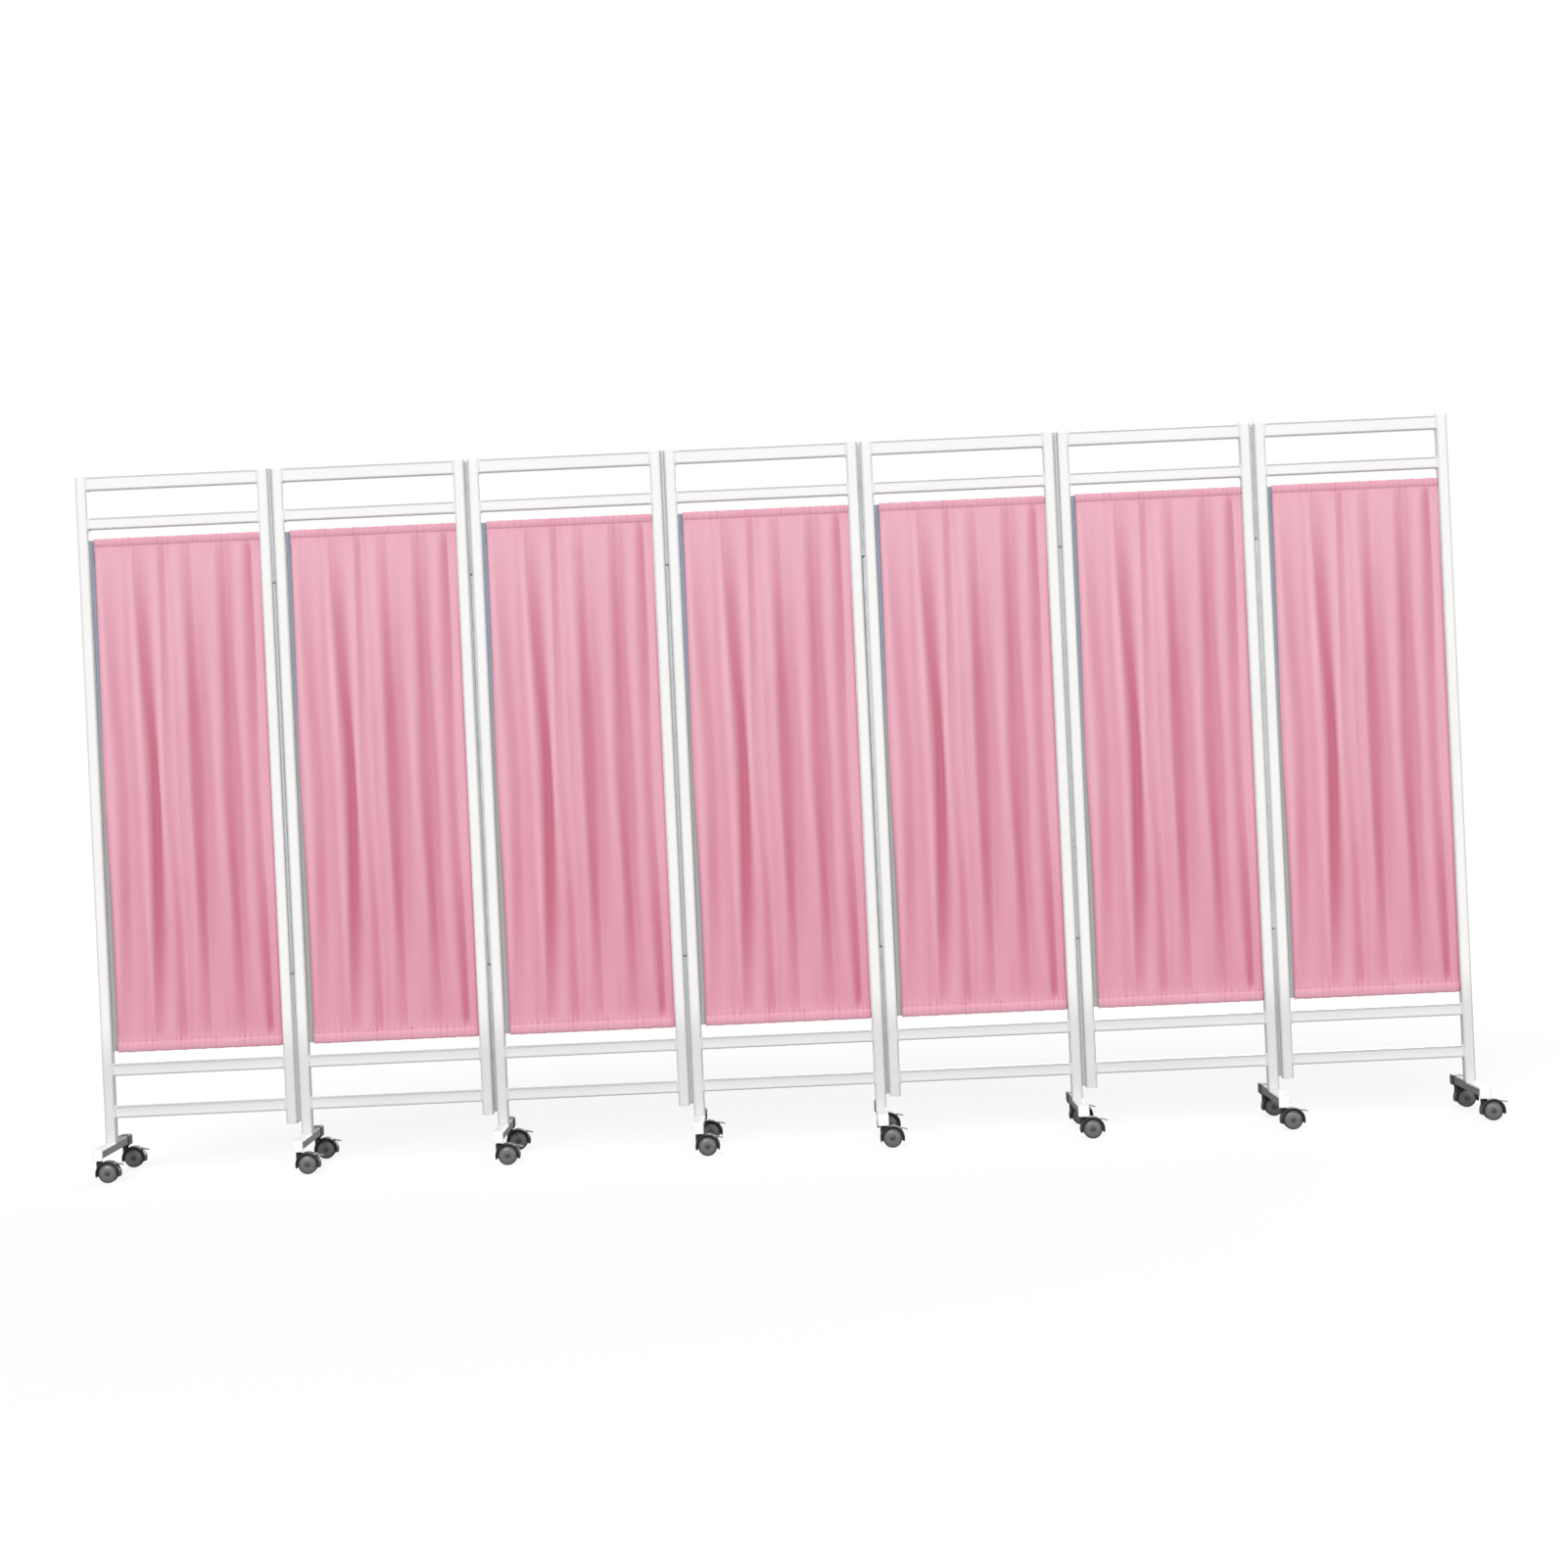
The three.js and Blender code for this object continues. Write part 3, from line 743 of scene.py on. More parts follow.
# Crests and valleys in turn, from the left: at the five levels, the place of each in thousandths of the opening's
# width, and then its depth in hundredths of the deepest fold, which also sets the painted shade there
FOLDS = np.array([
    (22, 20, 16, 28, 28, 70, 45, 50, 70, 72), (40, 50, 60, 56, 53, 5, 2, 12, 22, 46),
    (81, 105, 132, 112, 78, 6, 43, 58, 63, 40), (173, 168, 174, 167, 161, 6, 19, 36, 37, 41),
    (204, 198, 202, 209, 217, 8, 30, 42, 49, 52), (235, 236, 248, 245, 246, 5, 1, 18, 24, 50),
    (255, 288, 321, 290, 262, 22, 80, 112, 100, 62), (384, 380, 364, 381, 350, 0, 8, 11, 33, 32),
    (421, 408, 398, 417, 426, 45, 45, 36, 62, 74), (450, 450, 448, 455, 455, 4, 13, 22, 36, 46),
    (466, 470, 470, 474, 472, 7, 21, 33, 42, 50), (490, 512, 508, 516, 486, 0, 8, 24, 36, 42),
    (577, 561, 555, 562, 574, 27, 75, 83, 92, 60), (597, 612, 645, 607, 594, 2, 41, 50, 56, 36),
    (716, 707, 693, 714, 697, 6, 14, 17, 37, 54), (768, 765, 748, 762, 772, 38, 75, 76, 92, 64),
    (795, 790, 809, 797, 815, 28, 60, 60, 63, 45), (877, 849, 855, 853, 890, 0, 12, 22, 30, 45),
    (934, 928, 908, 926, 930, 66, 62, 56, 76, 100), (950, 956, 948, 954, 954, 8, 13, 22, 35, 52),
    (1000, 1000, 1000, 1000, 1000, 12, 20, 22, 30, 48),
]) / ((1000,) * 5 + (100,) * 5)


def levelled(values, down):
    """Values stated at the five levels, followed smoothly down the cloth."""
    line = smooth_line(np.asarray(values)[:, None], 12)[:, 0]
    return np.interp(down, np.linspace(0, 1, len(line)), line)


def fold_shares(place, down):
    """Depth of the cloth, as a share of the deepest fold.

    It goes from one line of the table to the next by the smooth step, over the middle four fifths of the way.
    Places and depths follow smooth lines down the cloth.
    """
    lines, depths = (np.stack([levelled(line, down) for line in half]) for half in np.split(FOLDS, 2, axis=1))
    way = (place - lines[:-1]) / np.diff(lines, axis=0)
    return depths[0] + (np.diff(depths, axis=0) * smooth_step(way, 0.1, 0.9)).sum(0)


def ripples(across, down):
    """Low waves from -1 to 1: three sines across the cloth whose phase drifts down it."""
    return (
        0.5 * np.sin(2 * np.pi * (9.3 * across + 0.7 * down) + 1.9 * np.sin(4.1 * down))
        + 0.3 * wave(15.7 * across - 0.9 * down + 0.31)
        + 0.2 * wave(23.9 * across + 1.3 * down + 0.6)
    )


def gathers(across):
    """Fine gathers at a seam: sines of 31 and 47 waves, stronger and weaker in turn."""
    coarse = wave(31 * across + 0.35 * np.sin(19 * across))
    return (0.65 + 0.35 * wave(5.3 * across + 0.2)) * (0.7 * coarse + 0.3 * np.sin(2 * np.pi * 47 * across + 1.0))


def curtain_line():
    """The cloth's line seen from its side, as depth and level, and the counts of its two pockets' points.

    It goes from behind the upper rod over it to the seam in front, down to the lower seam, and round the lower
    rod. The lower pocket is the upper one turned over and stretched to its height.
    """
    pocket = np.array([
        (-1.4, -21.6), (-1.2, -20.6), (2.4, -17.4), (5.2, -11.6), (4.6, -5.6), (2.3, -1.9), (0.0, -0.5), (-2.3, -1.8),
        (-4.5, -5.0), (-5.7, -11.0), (-5.0, -16.4), (-3.8, -19.8), (-3.4, -21.0), (-3.2, -22.4), (-3.1, -24.5),
    ]) / 1000
    upper = smooth_line(pocket, 3)
    lower = upper[::-1] * (1, -HEM / HEADER)
    top, bottom = upper[-1, 1] + CURTAIN_TOP, lower[0, 1] + CURTAIN_BOTTOM
    share = np.linspace(0, 1, 62)[1:-1]
    level = top + (bottom - top) * (share - 0.11 * wave(share))
    hanging = np.stack([0 * level + upper[-1, 0], level], 1)
    line = np.concatenate([upper + (0, CURTAIN_TOP), hanging, lower + (0, CURTAIN_BOTTOM)])
    return line, len(upper), len(lower)


def curtain_points(shape):
    """Points of a curtain about its panel's middle, their places on flat cloth, its seams, painted shade and flat
    size.

    Depth is the line's own, plus folds and low waves that grow with distance from the seams as
    1 - exp(-d / 14 mm), plus gathers that fade as exp(-d / 26 mm). Points also move sideways by a quarter of
    their fold depth. The pockets' outer edges wave up and down.
    """
    line, upper, lower = curtain_line()
    across = np.linspace(0, 1, shape.curtain_columns)[None, :]
    depth, level = line[:, :1], line[:, 1:]
    down = np.clip((UPPER_SEAM - level) / (UPPER_SEAM - LOWER_SEAM), 0, 1)
    away = np.maximum(np.minimum(UPPER_SEAM - level, level - LOWER_SEAM), 0)
    away[: upper - PAST_SEAM] = 0
    away[len(away) - lower + PAST_SEAM :] = 0
    front = np.where(depth < -0.0012, 1.0, -0.5)
    grown, fading = 1 - np.exp(-away / 0.014), np.exp(-away / 0.026)
    left = -INNER_HALF + levelled(LEFT_EDGE, down)
    base = left + (INNER_HALF - 0.0009 - left) * across
    share = fold_shares((base + INNER_HALF) / (2 * INNER_HALF), down)
    moved = (shape.fold_depth * (share - 0.35) + 0.0010 * ripples(across, down)) * grown
    pinched = bell(level - UPPER_SEAM, 0.0022) + bell(level - LOWER_SEAM, 0.0022)
    fine = gathers(across)
    gathered = shape.gather_depth * fine * fading * front * (1 - 0.5 * pinched)
    side = np.clip(np.minimum(across, 1 - across) / 0.03, 0, 1)
    y = depth + moved * (0.4 + 0.6 * side) + gathered + 0.0006 * pinched * np.sign(front)
    edge = np.clip(1 - np.minimum(CURTAIN_TOP - level, level - CURTAIN_BOTTOM) / 0.012, 0, 1)
    z = level + edge * (0.0007 * ripples(across, 0.3) + 0.0004 * fine) * np.sign(level - 1)
    points = np.stack([base + 0.25 * moved * side, y, z], -1)
    width = float(np.linalg.norm(np.diff(points, axis=1), axis=2).sum(1)[upper:-lower].mean())
    travelled = np.append(0.0, np.cumsum(np.linalg.norm(np.diff(line, axis=0), axis=1)))
    cloth = np.stack(np.broadcast_arrays(across * width, travelled[:, None]), -1)
    seam = bell(np.minimum(np.abs(level - UPPER_SEAM), np.abs(level - LOWER_SEAM)), 0.0011) + 0 * across
    crests = np.clip(fine, 0, 1)
    # Painted shade in the receding gathers: a fifth of the deep colour near the seams in front, and more just above
    # the lower seam
    pucker_shade = crests * fading * (front > 0)
    seam_pucker_shade = crests * bell(level - LOWER_SEAM - 0.002, 0.002)
    # Painted shadow: a dark line down the cloth's right edge beside the post, fading out near the top
    right_edge_shadow = bell(1 - across, 0.011) * np.clip(4 * down, 0, 1)
    # Painted shade: deeper with the depth of the folds, a quarter of the deep colour in the pockets and near the
    # seams, plus the gathers and the right-edge shadow above
    fold_shade = np.clip(share, 0, 1.2) * grown + 0.25 * (1 - grown) + 0.2 * pucker_shade + 0.8 * seam_pucker_shade + 0.5 * right_edge_shadow
    return points, cloth, seam, fold_shade, (width, float(travelled[-1]))


class SCREEN_OT_curtains(bpy.types.Operator):
    """Make the gathered curtains, with their pockets and a grey strip of painted shade down their left edges"""

    bl_idname = "ward_screen.curtains"
    bl_label = "Curtains"

    def execute(self, context):
        shape = context.scene.screen_shape
        points, cloth, seam, fold_shade, flat = curtain_points(shape)
        rows, columns = points.shape[:2]
        number = np.arange(rows * columns).reshape(rows, columns)
        quads = np.stack([number[:-1, :-1], number[1:, :-1], number[1:, 1:], number[:-1, 1:]], -1).reshape(-1, 4)
        for panel in PANELS:
            placed = points + (PANEL_X[panel], 0, 0)
            surface = Skin(placed.reshape(-1, 3), [quads], seam.reshape(-1))
            made = seen_piece(
                f"curtain_cloth_{panel}", [surface], pink_cloth, f"panel_{panel}",
                f"curtain_{panel}", sharp=180.0,
            )
            point_values(made.data, "fold_shade", fold_shade.reshape(-1))
            uv = made.data.uv_layers.new(name="cloth")
            uv.data.foreach_set("uv", cloth.reshape(-1, 2)[quads.reshape(-1)].astype(np.float32).reshape(-1))
            thick = made.modifiers.new("thickness", "SOLIDIFY")
            thick.thickness, thick.offset = shape.cloth_thickness, 0.0
            shade_strip = self.shade_strip(panel, placed)
        return {"FINISHED"}

    def shade_strip(self, panel, placed):
        """A painted-shade strip down the left edge: a thin rounded section, as wide as the space beside the cloth.

        It lies behind the cloth, and comes forward by the smooth step in front of the rods.
        """
        level = np.linspace(CURTAIN_TOP - 0.004, CURTAIN_BOTTOM + 0.004, 60)
        order = np.argsort(placed[:, 0, 2])
        start = PANEL_X[panel] - INNER_HALF + 0.0003
        away = np.minimum(UPPER_SEAM - level, level - LOWER_SEAM)
        under = 0.003 * np.clip((away - 0.03) / 0.02, 0, 1)
        width = np.interp(level, placed[order, 0, 2], placed[order, 0, 0]) - 0.0002 + under - start
        depth = -0.0050 + 0.0042 * smooth_step(away, 0.002, 0.030)
        sections = outline(width, 0.0012, 0.0005, 2, 0.0001)
        rings = carried(sections, np.stack([start + width / 2, depth, level], 1), (1, 0, 0), (0, 1, 0))
        made = skin(rings, sections[..., 0] / width[:, None] + 0.5)
        return seen_piece(f"curtain_shade_strip_{panel}", [made], painted_edge_shade, f"panel_{panel}")


# Hinges


def barrel(gap, low, high, radius):
    """A hinge barrel: a turned bar with rings near both ends. Those behind the screen are marked for painted light."""
    edge = np.array([(0.6, 0), (0.2, 0.2), (0, 0.6), (0, 4.6), (0.4, 4.8), (0.4, 5.4), (0, 5.6), (0, 6)]) / 1000
    edge = (radius, 0) + edge * (-1, 1)
    profile = np.concatenate([edge + (0, low), edge[::-1] * (1, -1) + (0, high)])
    return turned(profile, HINGE[gap], "z", 28, float(HINGE[gap].y > 0))


def web(gap, side, low, high):
    """The plate from a barrel to its post: a bar up Z. Those behind the screen are marked for painted light."""
    behind = HINGE[gap].y > 0
    centre = HINGE[gap] + Vector((side * 0.0028, -0.002 if behind else 0.002, 0))
    made = bar(low, high, 0.0056, 0.004, 0.0006, "z", centre)
    return Skin(made.points, made.faces, float(behind))


class SCREEN_OT_hinges(bpy.types.Operator):
    """Make the hinge barrels, their plates, rods and bushes"""

    bl_idname = "ward_screen.hinges"
    bl_label = "Hinges"

    def execute(self, context):
        radius = context.scene.screen_shape.barrel_radius
        ends = ((BARREL_BOTTOM, LOWER_SPLIT - SPLIT_HALF), (UPPER_SPLIT + SPLIT_HALF, BARREL_TOP))
        middle_span = ((LOWER_SPLIT + SPLIT_HALF, UPPER_SPLIT - SPLIT_HALF),)
        for gap in GAPS:
            for name, side, spans in (("barrels_left", -1, ends), ("barrel_right", 1, middle_span)):
                parts = [part for span in spans for part in (barrel(gap, *span, radius), web(gap, side, *span))]
                panel = gap + (side > 0)
                seen_piece(f"hinge_{name}_{gap}", parts, steel, f"panel_{panel}")
            self.rod(gap)
            self.bushes(gap)
        return {"FINISHED"}

    def rod(self, gap):
        """The rod and its domed head: a round bar, then radius 4.7 mm times cos a, risen by 2 mm times sin a."""
        sine, cosine = quarter(6)
        base = BARREL_TOP + 0.0003
        profile = np.concatenate([
            [(0.0019, BARREL_BOTTOM), (HINGE_ROD, BARREL_BOTTOM + 0.0006), (HINGE_ROD, base), (0.0044, base)],
            np.stack([0.0047 * cosine, base + 0.0005 + 0.002 * sine], 1)[:-1],
        ])
        made = turned(profile, HINGE[gap], "z", 24)
        seen_piece(f"hinge_rod_{gap}", [made], steel, f"panel_{gap}", f"hinge_pin_{gap}")

    def bushes(self, gap):
        """Grey bushes at the two splits: short turned rings round the barrel ends."""
        half = np.array([(4.0, 3.0), (4.7, 2.6), (4.82, 2.0)]) / 1000
        profile = np.concatenate([half * (1, -1), half[::-1]])
        parts = [turned(profile + (0, level), HINGE[gap], "z", 28) for level in (LOWER_SPLIT, UPPER_SPLIT)]
        seen_piece(f"hinge_bushes_{gap}", parts, brake_plastic, f"panel_{gap}")


# Feet


def foot_bar(x, wall, corner):
    """A foot bar: a rounded section carried along Y, a little inside the covers, and 2 mm short in front."""
    top, bottom = FOOT_TOP - wall, FOOT_BOTTOM + wall + 0.003
    start, end, width = -FOOT_HALF + wall + 0.002, FOOT_HALF - wall / 2, TUBE - 2 * wall - 0.0014
    return bar(start, end, width, top - bottom, corner, "y", (x, 0, (top + bottom) / 2))


def front_cover(x, wall, corner):
    """The white cover over the top and end of a foot's front half.

    Its section is a flat with two quarter rounds and short laps, and inside it the same line drawn in by the
    wall. It is carried along the top and, on an arc, down over the end.
    """
    lap, half = 0.0052, TUBE / 2
    sine, cosine = quarter(5)
    side = np.stack([half - corner + corner * cosine, corner - corner * sine], 1)
    side = np.concatenate([[(half, lap - 0.0004), (half, corner + HOLD)], side, [(half - corner - HOLD, 0.0)]])
    inner = np.stack([side[:, 0] - wall * (side[:, 0] > half - corner), side[:, 1] + wall * (side[:, 1] < corner)], 1)
    half_section = np.concatenate([inner[::-1], [(half - HOLD - wall / 2, lap)], side])
    section = np.concatenate([half_section, half_section[::-1] * (-1, 1)])
    sine, cosine = quarter(7)
    y = np.concatenate([[-0.0162, -0.0165, -0.06, -0.12], -FOOT_HALF + COVER_BEND * (1 - sine), [-FOOT_HALF] * 2])
    z = np.concatenate([[FOOT_TOP] * 4, FOOT_TOP - COVER_BEND * (1 - cosine), [FOOT_BOTTOM + HOLD, FOOT_BOTTOM]])
    out_y, out_z = np.concatenate([[0.0] * 4, -sine, [-1.0] * 2]), np.concatenate([[1.0] * 4, cosine, [0.0] * 2])
    places, outside = (np.stack(parts, 1) for parts in ((x + 0 * y, y, z), (0 * y, out_y, out_z)))
    return skin(carried(section[None] * (1, -1), places, (1, 0, 0), outside), 0.2)


def rear_sleeve(x, corner):
    """The black sleeve over a foot's rear end: a rounded section carried along Y, with a rim at its mouth.

    At its far end it is drawn in by 3 mm times (1 - cos a) while it runs out by 3 mm times sin a.
    """
    sine, cosine = quarter(6)
    mouth = FOOT_HALF - SLEEVE + np.array([0.0, 0.0003, 0.0037, 0.0041])
    y = np.concatenate([mouth, FOOT_HALF - 0.003 * (1 - sine)])
    inset = np.concatenate([[0.0004, 0.0, 0.0, 0.0005], 0.0005 + 0.003 * (1 - cosine)])
    return square_bar(y, inset, corner, "y", (x, 0, (FOOT_TOP + FOOT_BOTTOM) / 2))


class SCREEN_OT_feet(bpy.types.Operator):
    """Make the feet: dark bars with a white front cover and a black rear sleeve"""

    bl_idname = "ward_screen.feet"
    bl_label = "Feet"

    def execute(self, context):
        shape = context.scene.screen_shape
        wall, corner = shape.cover_wall, shape.foot_corner
        for foot in FEET:
            x, panel = AXLE["front", foot].x - TRAIL, foot - (foot > MID_PANEL)
            for kind, made, maker, slot in (
                ("bar", foot_bar(x, wall, corner), dark_paint, "foot_paint"),
                ("cover", front_cover(x, wall, corner), cap_plastic, "end_cap"),
                ("sleeve", rear_sleeve(x, corner), housing_plastic, "castor_plastic"),
            ):
                seen_piece(f"foot_{kind}_{foot}", [made], maker, f"panel_{panel}")
        return {"FINISHED"}


# Castors


def rim(axle, corners, start, end, low, high, steps):
    """Part of a castor hood: a rounded section of points (radius, y), turned to radius times (cos a, sin a)."""
    angle = np.radians(np.linspace(start, end, steps))[:, None]
    section = outline(HOOD_RADIUS - BAY_RADIUS, high - low, corners, 4, 0.0002)[0]
    radius = (HOOD_RADIUS + BAY_RADIUS) / 2 + section[:, 0]
    y = (low + high) / 2 + section[:, 1] + 0 * angle
    return skin(np.stack([radius * np.cos(angle), y, radius * np.sin(angle)], -1) + np.array(axle), outline_marks(4))


def hood(axle, shape, braked):
    """A castor hood: arcs of its rim. A front one leaves a slot at its top right for the brake lever."""
    drop, slot, half = math.degrees(shape.hood_drop), LEVER_HALF + 0.0003, CASTOR_HALF
    arcs = [(-drop, 180 + drop, -half, half, 72)]
    if braked:
        start, end = SLOT_ANGLES
        arcs = [
            (-drop, start, -half, half, 16), (end, 180 + drop, -half, half, 44),
            (start, end, -half, -slot, 20), (start, end, slot, half, 20),
        ]
    return [rim(axle, shape.rim_round, *arc) for arc in arcs]


def hood_web(axle):
    """The plate between the wheels: the hood's outline in X and Z, drawn in at both faces, across Y."""
    angle = np.radians(np.linspace(-14, 194, 60))
    foot = np.array([(-10.5, -8.6), (-9.5, -8.9), (9.5, -8.9), (10.5, -8.6)]) / 1000
    x, z = np.concatenate([0.0275 * np.stack([np.cos(angle), np.sin(angle)], 1), foot]).T
    y = np.array([-3.2, -2.9, 2.9, 3.2])[:, None] / 1000
    size = np.array([0.985, 1.0, 1.0, 0.985])[:, None]
    return skin(np.stack([size * x, y + 0 * x, size * z], -1) + np.array(axle))


def boss(axle):
    """The boss that carries the stem: a turned neck with small grooves near its top.

    Its foot stands on the circle of radius 28.6 mm round the axle.
    """
    top = FOOT_BOTTOM - 0.0004 - axle.z
    angle = np.arange(40) / 40 * 2 * np.pi
    radius = np.array([8.0, 8.0, 8.0, 8.0, 7.4, 7.4, 8.0, 8.0, 7.6])[:, None] / 1000
    x, y = radius * np.cos(angle) - TRAIL, radius * np.sin(angle)
    rings = np.array([-4.0, -3.7, -3.0, -2.7, -0.5, 0.0])[:, None] / 1000 + top
    share = np.array([0.0, 0.04, 0.5])[:, None]
    foot = np.sqrt(np.maximum(0.0286**2 - x[:1] ** 2, 0.0)) * (1 - share) + (top - 0.0042) * share
    return skin(np.stack([x, y, np.concatenate([foot, rings + 0 * x[:1]])], -1) + np.array(axle), 0.3)


def stem(axle):
    """The steel stem over the boss, with a washer at its foot: a turned profile."""
    profile = np.array([(6.8, 0.0), (7.2, 0.3), (7.2, 0.9), (5.0, 1.0), (5.0, 20.7), (4.5, 21.2)]) / 1000
    return turned(profile, (axle.x - TRAIL, axle.y, FOOT_BOTTOM - 0.0012), "z", 24)


def lever(axle):
    """A brake lever: a rounded section carried from the pivot to the tip.

    Its line rises by 1.1 mm times the sine of half a turn. Both ends are rounded like an ellipse, and the top
    has three low ribs near the tip.
    """
    t = np.linspace(0, 1, 60)
    start, end = np.array(PIVOT) - (0.0010, 0.0002), np.array([0.0396, 0.0200])
    line = start + (end - start) * t[:, None]
    line[:, 1] += 0.0011 * np.sin(np.pi * t)
    rib = sum(bell(t - place, 0.02) for place in (0.62, 0.72, 0.82))
    tip, root = ((t - 0.86) / 0.14).clip(0), ((0.04 - t) / 0.04).clip(0)
    ends = np.sqrt(np.clip(1 - tip**2, 0.02, 1) * np.clip(1 - root**2, 0.1, 1))
    width = 2 * LEVER_HALF * (0.80 + 0.20 * ends) * np.where(tip > 0, ends**0.5, 1)
    thick = (0.0029 - 0.0007 * t) * (0.35 + 0.65 * ends)
    slope = np.gradient(line, axis=0)
    slope /= np.linalg.norm(slope, axis=1, keepdims=True)
    sections = outline(width, thick, np.minimum(0.0008, thick * 0.4), 3, 0.0001)
    sections[..., 1] += np.where(sections[..., 1] > 0, 0.0004, 0.0) * rib[:, None]
    places, up = (np.stack([a, 0 * t, b], 1) for a, b in ((line[:, 0], line[:, 1]), (-slope[:, 1], slope[:, 0])))
    return skin(carried(sections, places + np.array(axle), (0, 1, 0), up), rib[:, None] + 0 * outline_marks(3))


def lever_pin(axle):
    """The pin of a brake lever: a thin round bar across the hood."""
    reach = CASTOR_HALF - 0.0001
    centre = (axle.x + PIVOT[0], axle.y, axle.z + PIVOT[1])
    return turned(rounded_rod(LEVER_PIN, -reach, reach, 0.0002), centre, "y", 16)


def wheel(axle, side, radius):
    """One wheel: a turned profile with a crowned tread, a groove, and a domed face with a hub cap.

    Each row is a radius and a distance from the castor's middle in millimetres, and a mark. The tread's radii
    are counted down from the wheel's own. `side` is -1 in front and 1 behind.
    """
    size = radius * 1000
    inside = [(2.8, 3.7, 0), (16.0, 3.7, 0), (21.0, 3.8, 0)]
    tread = (size, 0, 0) + np.array([
        (1.3, 4.1, 0), (0.5, 4.6, 0), (0.1, 5.5, 0), (0, 7.2, 0), (0, 9.6, 0), (0.1, 11.3, 0), (0.6, 12.3, 0),
        (1.5, 12.9, 0), (3.0, 13.2, 0), (3.5, 13.1, 0), (3.8, 12.4, 0.1), (4.1, 12.3, 0.4), (4.5, 12.9, 0.5),
    ]) * (-1, 1, 1)
    spread = np.linspace(1, 0, 12)
    dome = np.stack([7.4 + (size - 12.2) * spread, 15.4 - 2.2 * spread**1.7, 0 * spread + 0.5], 1)
    hub = [(7.1, 15.1, 0.6), (6.9, 14.6, 0.8), (6.5, 14.5, 1), (6.2, 14.9, 1), (5.4, 15.2, 1)]
    hub += [(3.0, 15.45, 1), (1.0, 15.5, 1)]
    profile = np.concatenate([inside, tread, dome, hub])
    return turned(profile[:, :2] * (1, side) / 1000, axle, "y", 48, profile[:, 2])


class SCREEN_OT_castors(bpy.types.Operator):
    """Make the castors: hoods with their bosses, stems and brake tabs"""

    bl_idname = "ward_screen.castors"
    bl_label = "Castors"

    def execute(self, context):
        shape = context.scene.screen_shape
        for (end, foot), axle in AXLE.items():
            braked, body = end == "front", f"castor_{end}_{foot}"
            parts = [*hood(axle, shape, braked), hood_web(axle), boss(axle)]
            node = f"castor_body_{end}_{foot}"
            seen_piece(f"castor_hood_{end}_{foot}", parts, housing_plastic, body, node)
            seen_piece(f"castor_stem_{end}_{foot}", [stem(axle)], steel, body)
            parts, node = [lever(axle)], None
            if braked:
                parts, node, body = [lever(axle), lever_pin(axle)], f"brake_lever_{foot}", f"brake_{foot}"
            seen_piece(f"brake_tab_{end}_{foot}", parts, brake_plastic, body, node)
        return {"FINISHED"}


class SCREEN_OT_wheels(bpy.types.Operator):
    """Make the twin wheels of the castors, with their axles"""

    bl_idname = "ward_screen.wheels"
    bl_label = "Wheels"

    def execute(self, context):
        shape = context.scene.screen_shape
        reach = WHEEL_INNER + 0.0004
        for (end, foot), axle in AXLE.items():
            parts = [wheel(axle, side, shape.wheel_radius) for side in SIDES]
            parts.append(turned(rounded_rod(WHEEL_AXLE, -reach, reach), axle, "y", 20))
            name, node = f"castor_wheels_round_{end}_{foot}", f"castor_wheels_{end}_{foot}"
            seen_piece(name, parts, wheel_plastic, f"wheels_{end}_{foot}", node)
        return {"FINISHED"}


# Stage


def floor_finish():
    """White floor: a matt white that keeps the shadow; the camera sees it a little brighter, up to white."""
    f = Finish("floor_white")
    seen = f.node("LightPath", output="Is Camera Ray")
    bright = f.node("AddShader", None, {0: f.white("BsdfDiffuse", 0.22), 1: f.white("Emission", Strength=0.815)})
    return f.ends_in("OutputMaterial", f.node("MixShader", None, {0: seen, 1: f.white("BsdfDiffuse", 0.5), 2: bright}))


def room_light(strength):
    """Even light all round, seen as plain white by the camera, in reflections and through clear things."""
    f = Finish("room", "worlds")
    kinds = ("Camera", "Glossy", "Transmission")
    camera, glossy, through = (f.node("LightPath", output=f"Is {kind} Ray") for kind in kinds)
    seen = f.maths("MAXIMUM", f.maths("MAXIMUM", camera, glossy), through)
    light, white = (f.white("Background", Strength=level) for level in (strength, 1.0))
    return f.ends_in("OutputWorld", f.node("MixShader", None, {0: seen, 1: light, 2: white}))


def sun(name, strength, azimuth, elevation, spread):
    """A soft distant light. Azimuth 0 is the front and negative the left; angles in degrees."""
    made = bpy.data.lights.new(name, "SUN")
    made.energy, made.angle = strength, math.radians(spread)
    lamp = placed_object(name, made)
    a, e = math.radians(azimuth), math.radians(elevation)
    towards = Vector((math.sin(a) * math.cos(e), -math.cos(a) * math.cos(e), math.sin(e)))
    lamp.rotation_mode = "QUATERNION"
    lamp.rotation_quaternion = towards.to_track_quat("Z", "Y")


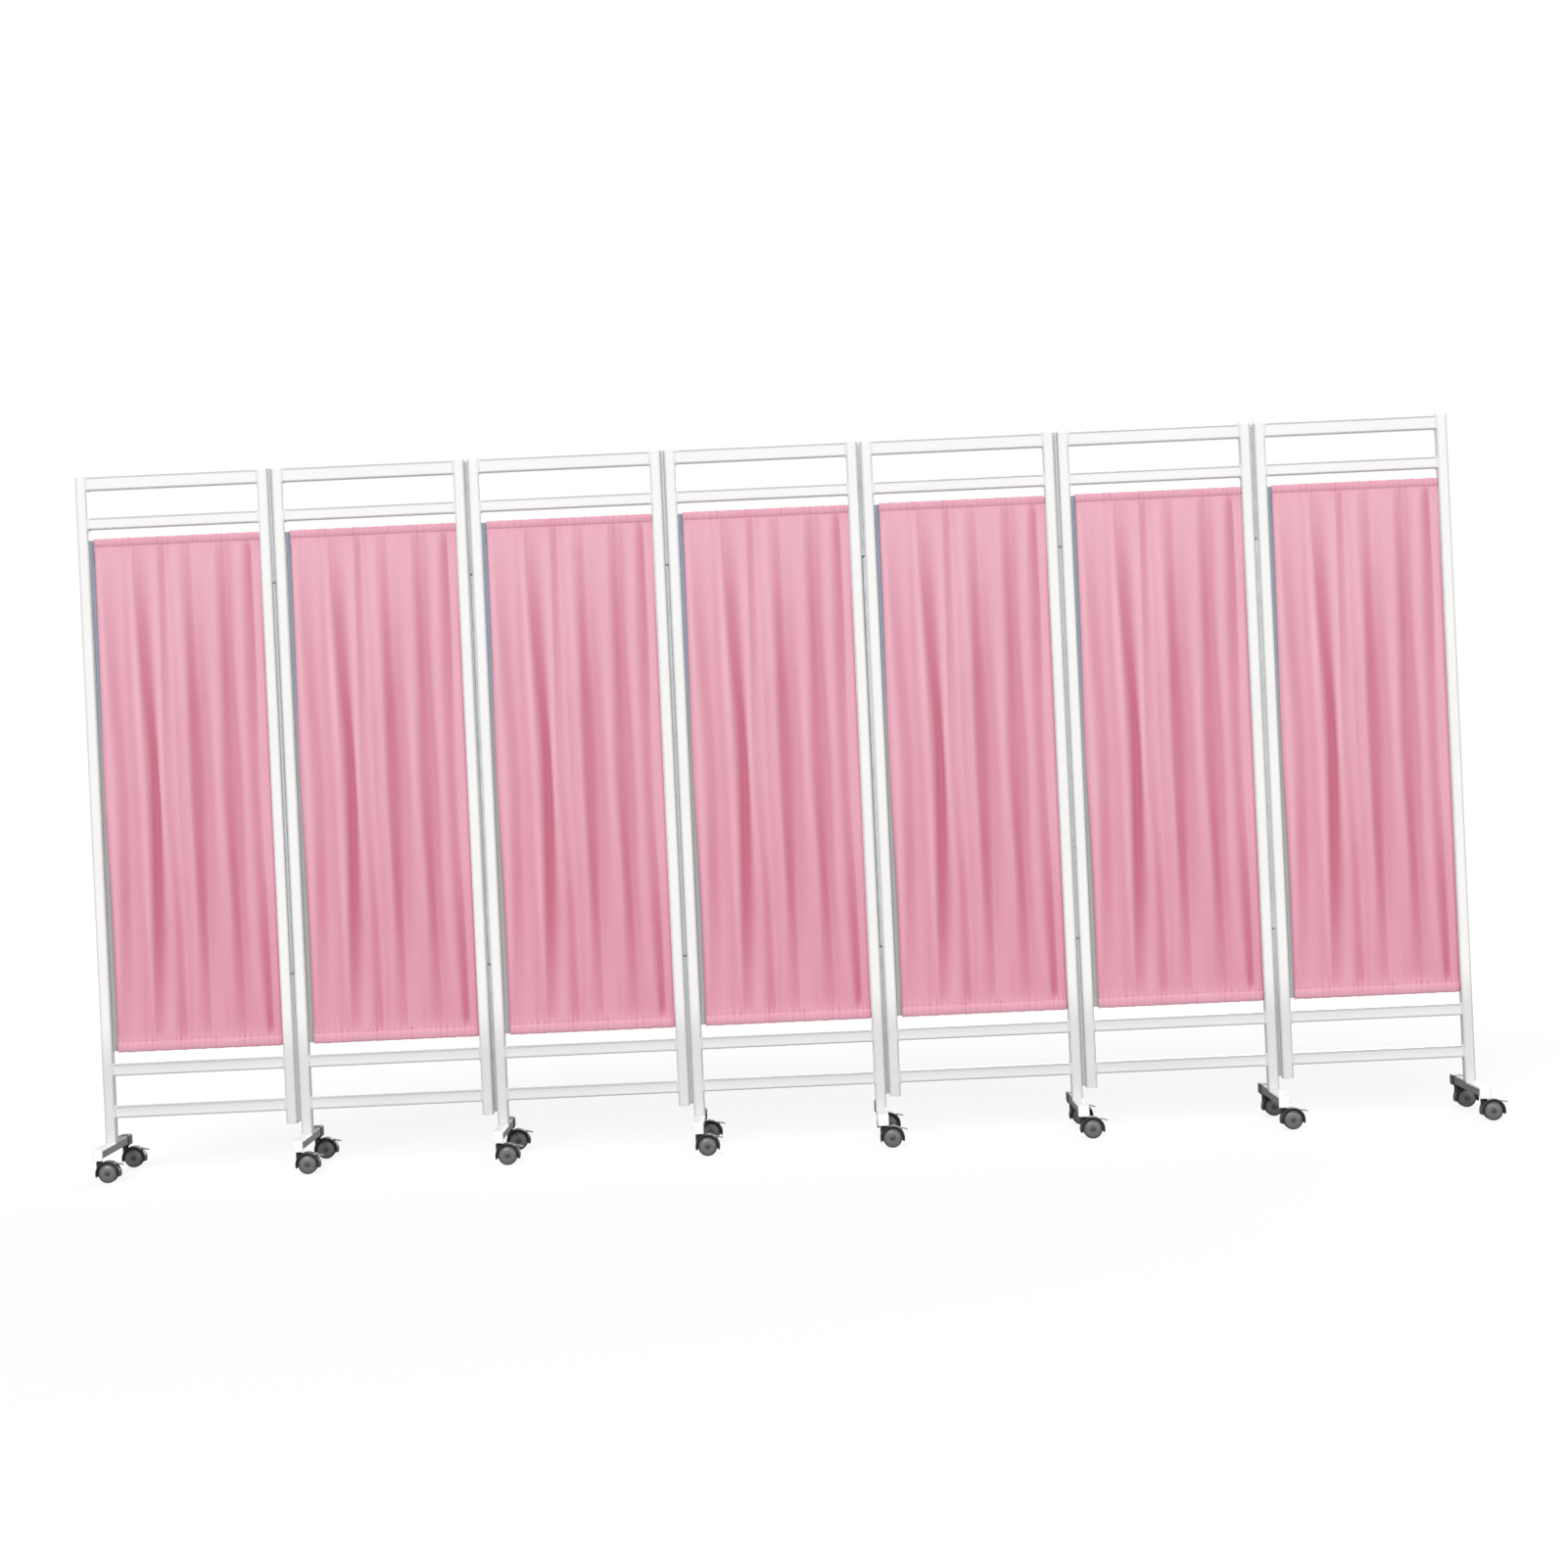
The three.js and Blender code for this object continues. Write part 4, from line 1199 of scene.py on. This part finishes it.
class SCREEN_OT_stage(bpy.types.Operator):
    """Make the white floor, the soft light and the camera"""

    bl_idname = "ward_screen.stage"
    bl_label = "Stage"

    def execute(self, context):
        stage = context.scene.screen_stage
        context.scene.view_settings.view_transform = "Standard"
        mesh = bpy.data.meshes.new("floor")
        corners = [(x * FLOOR_HALF, y * FLOOR_HALF, 0) for x, y in ((-1, -1), (1, -1), (1, 1), (-1, 1))]
        mesh.from_pydata(corners, [], [(0, 1, 2, 3)])
        mesh.materials.append(floor_finish())
        floor = placed_object("floor", mesh)
        context.scene.world = room_light(stage.sky)
        sun("key_light", stage.key, -14, 35, 30)
        sun("fill_light", stage.fill, 30, 20, 40)
        sun("back_light", stage.back, 160, 22, 40)
        self.camera(context, stage)
        return {"FINISHED"}

    def camera(self, context, stage):
        data = bpy.data.cameras.new("camera")
        data.lens, data.sensor_width = stage.lens, SENSOR
        made = placed_object("camera", data)
        turn = Matrix.Rotation(stage.pan, 4, "Z") @ Matrix.Rotation(math.pi / 2 + stage.tilt, 4, "X")
        made.matrix_world = Matrix.Translation(stage.camera) @ turn @ Matrix.Rotation(stage.roll, 4, "Z")
        context.scene.camera = made


OPERATORS = (
    SCREEN_OT_tube_frames, SCREEN_OT_post_caps, SCREEN_OT_curtain_rods, SCREEN_OT_curtains, SCREEN_OT_hinges,
    SCREEN_OT_feet, SCREEN_OT_castors, SCREEN_OT_wheels, SCREEN_OT_stage,
)


class SCREEN_PT_parts(bpy.types.Panel):
    """Lists the parts of the screen in the sidebar"""

    bl_idname = "SCREEN_PT_parts"
    bl_label = "Ward screen"
    bl_space_type = "VIEW_3D"
    bl_region_type = "UI"
    bl_category = "Ward screen"

    def draw(self, context):
        for operator in OPERATORS:
            self.layout.operator(operator.bl_idname)
        for group in (context.scene.screen_shape, context.scene.screen_finish, context.scene.screen_stage):
            box = self.layout.box()
            for key in group.bl_rna.properties.keys():
                if key not in ("rna_type", "name"):
                    box.prop(group, key)


GROUPS = {"screen_shape": ScreenShape, "screen_finish": ScreenFinish, "screen_stage": ScreenStage}


def register():
    for each in (*GROUPS.values(), *OPERATORS, SCREEN_PT_parts):
        bpy.utils.register_class(each)
    for name, group in GROUPS.items():
        setattr(bpy.types.Scene, name, PointerProperty(type=group))


def unregister():
    for name in GROUPS:
        delattr(bpy.types.Scene, name)
    for each in (SCREEN_PT_parts, *reversed(OPERATORS), *reversed(GROUPS.values())):
        bpy.utils.unregister_class(each)


def main():
    register()
    for operator in OPERATORS:
        group, name = operator.bl_idname.split(".")
        getattr(getattr(bpy.ops, group), name)()


if __name__ == "__main__":
    main()
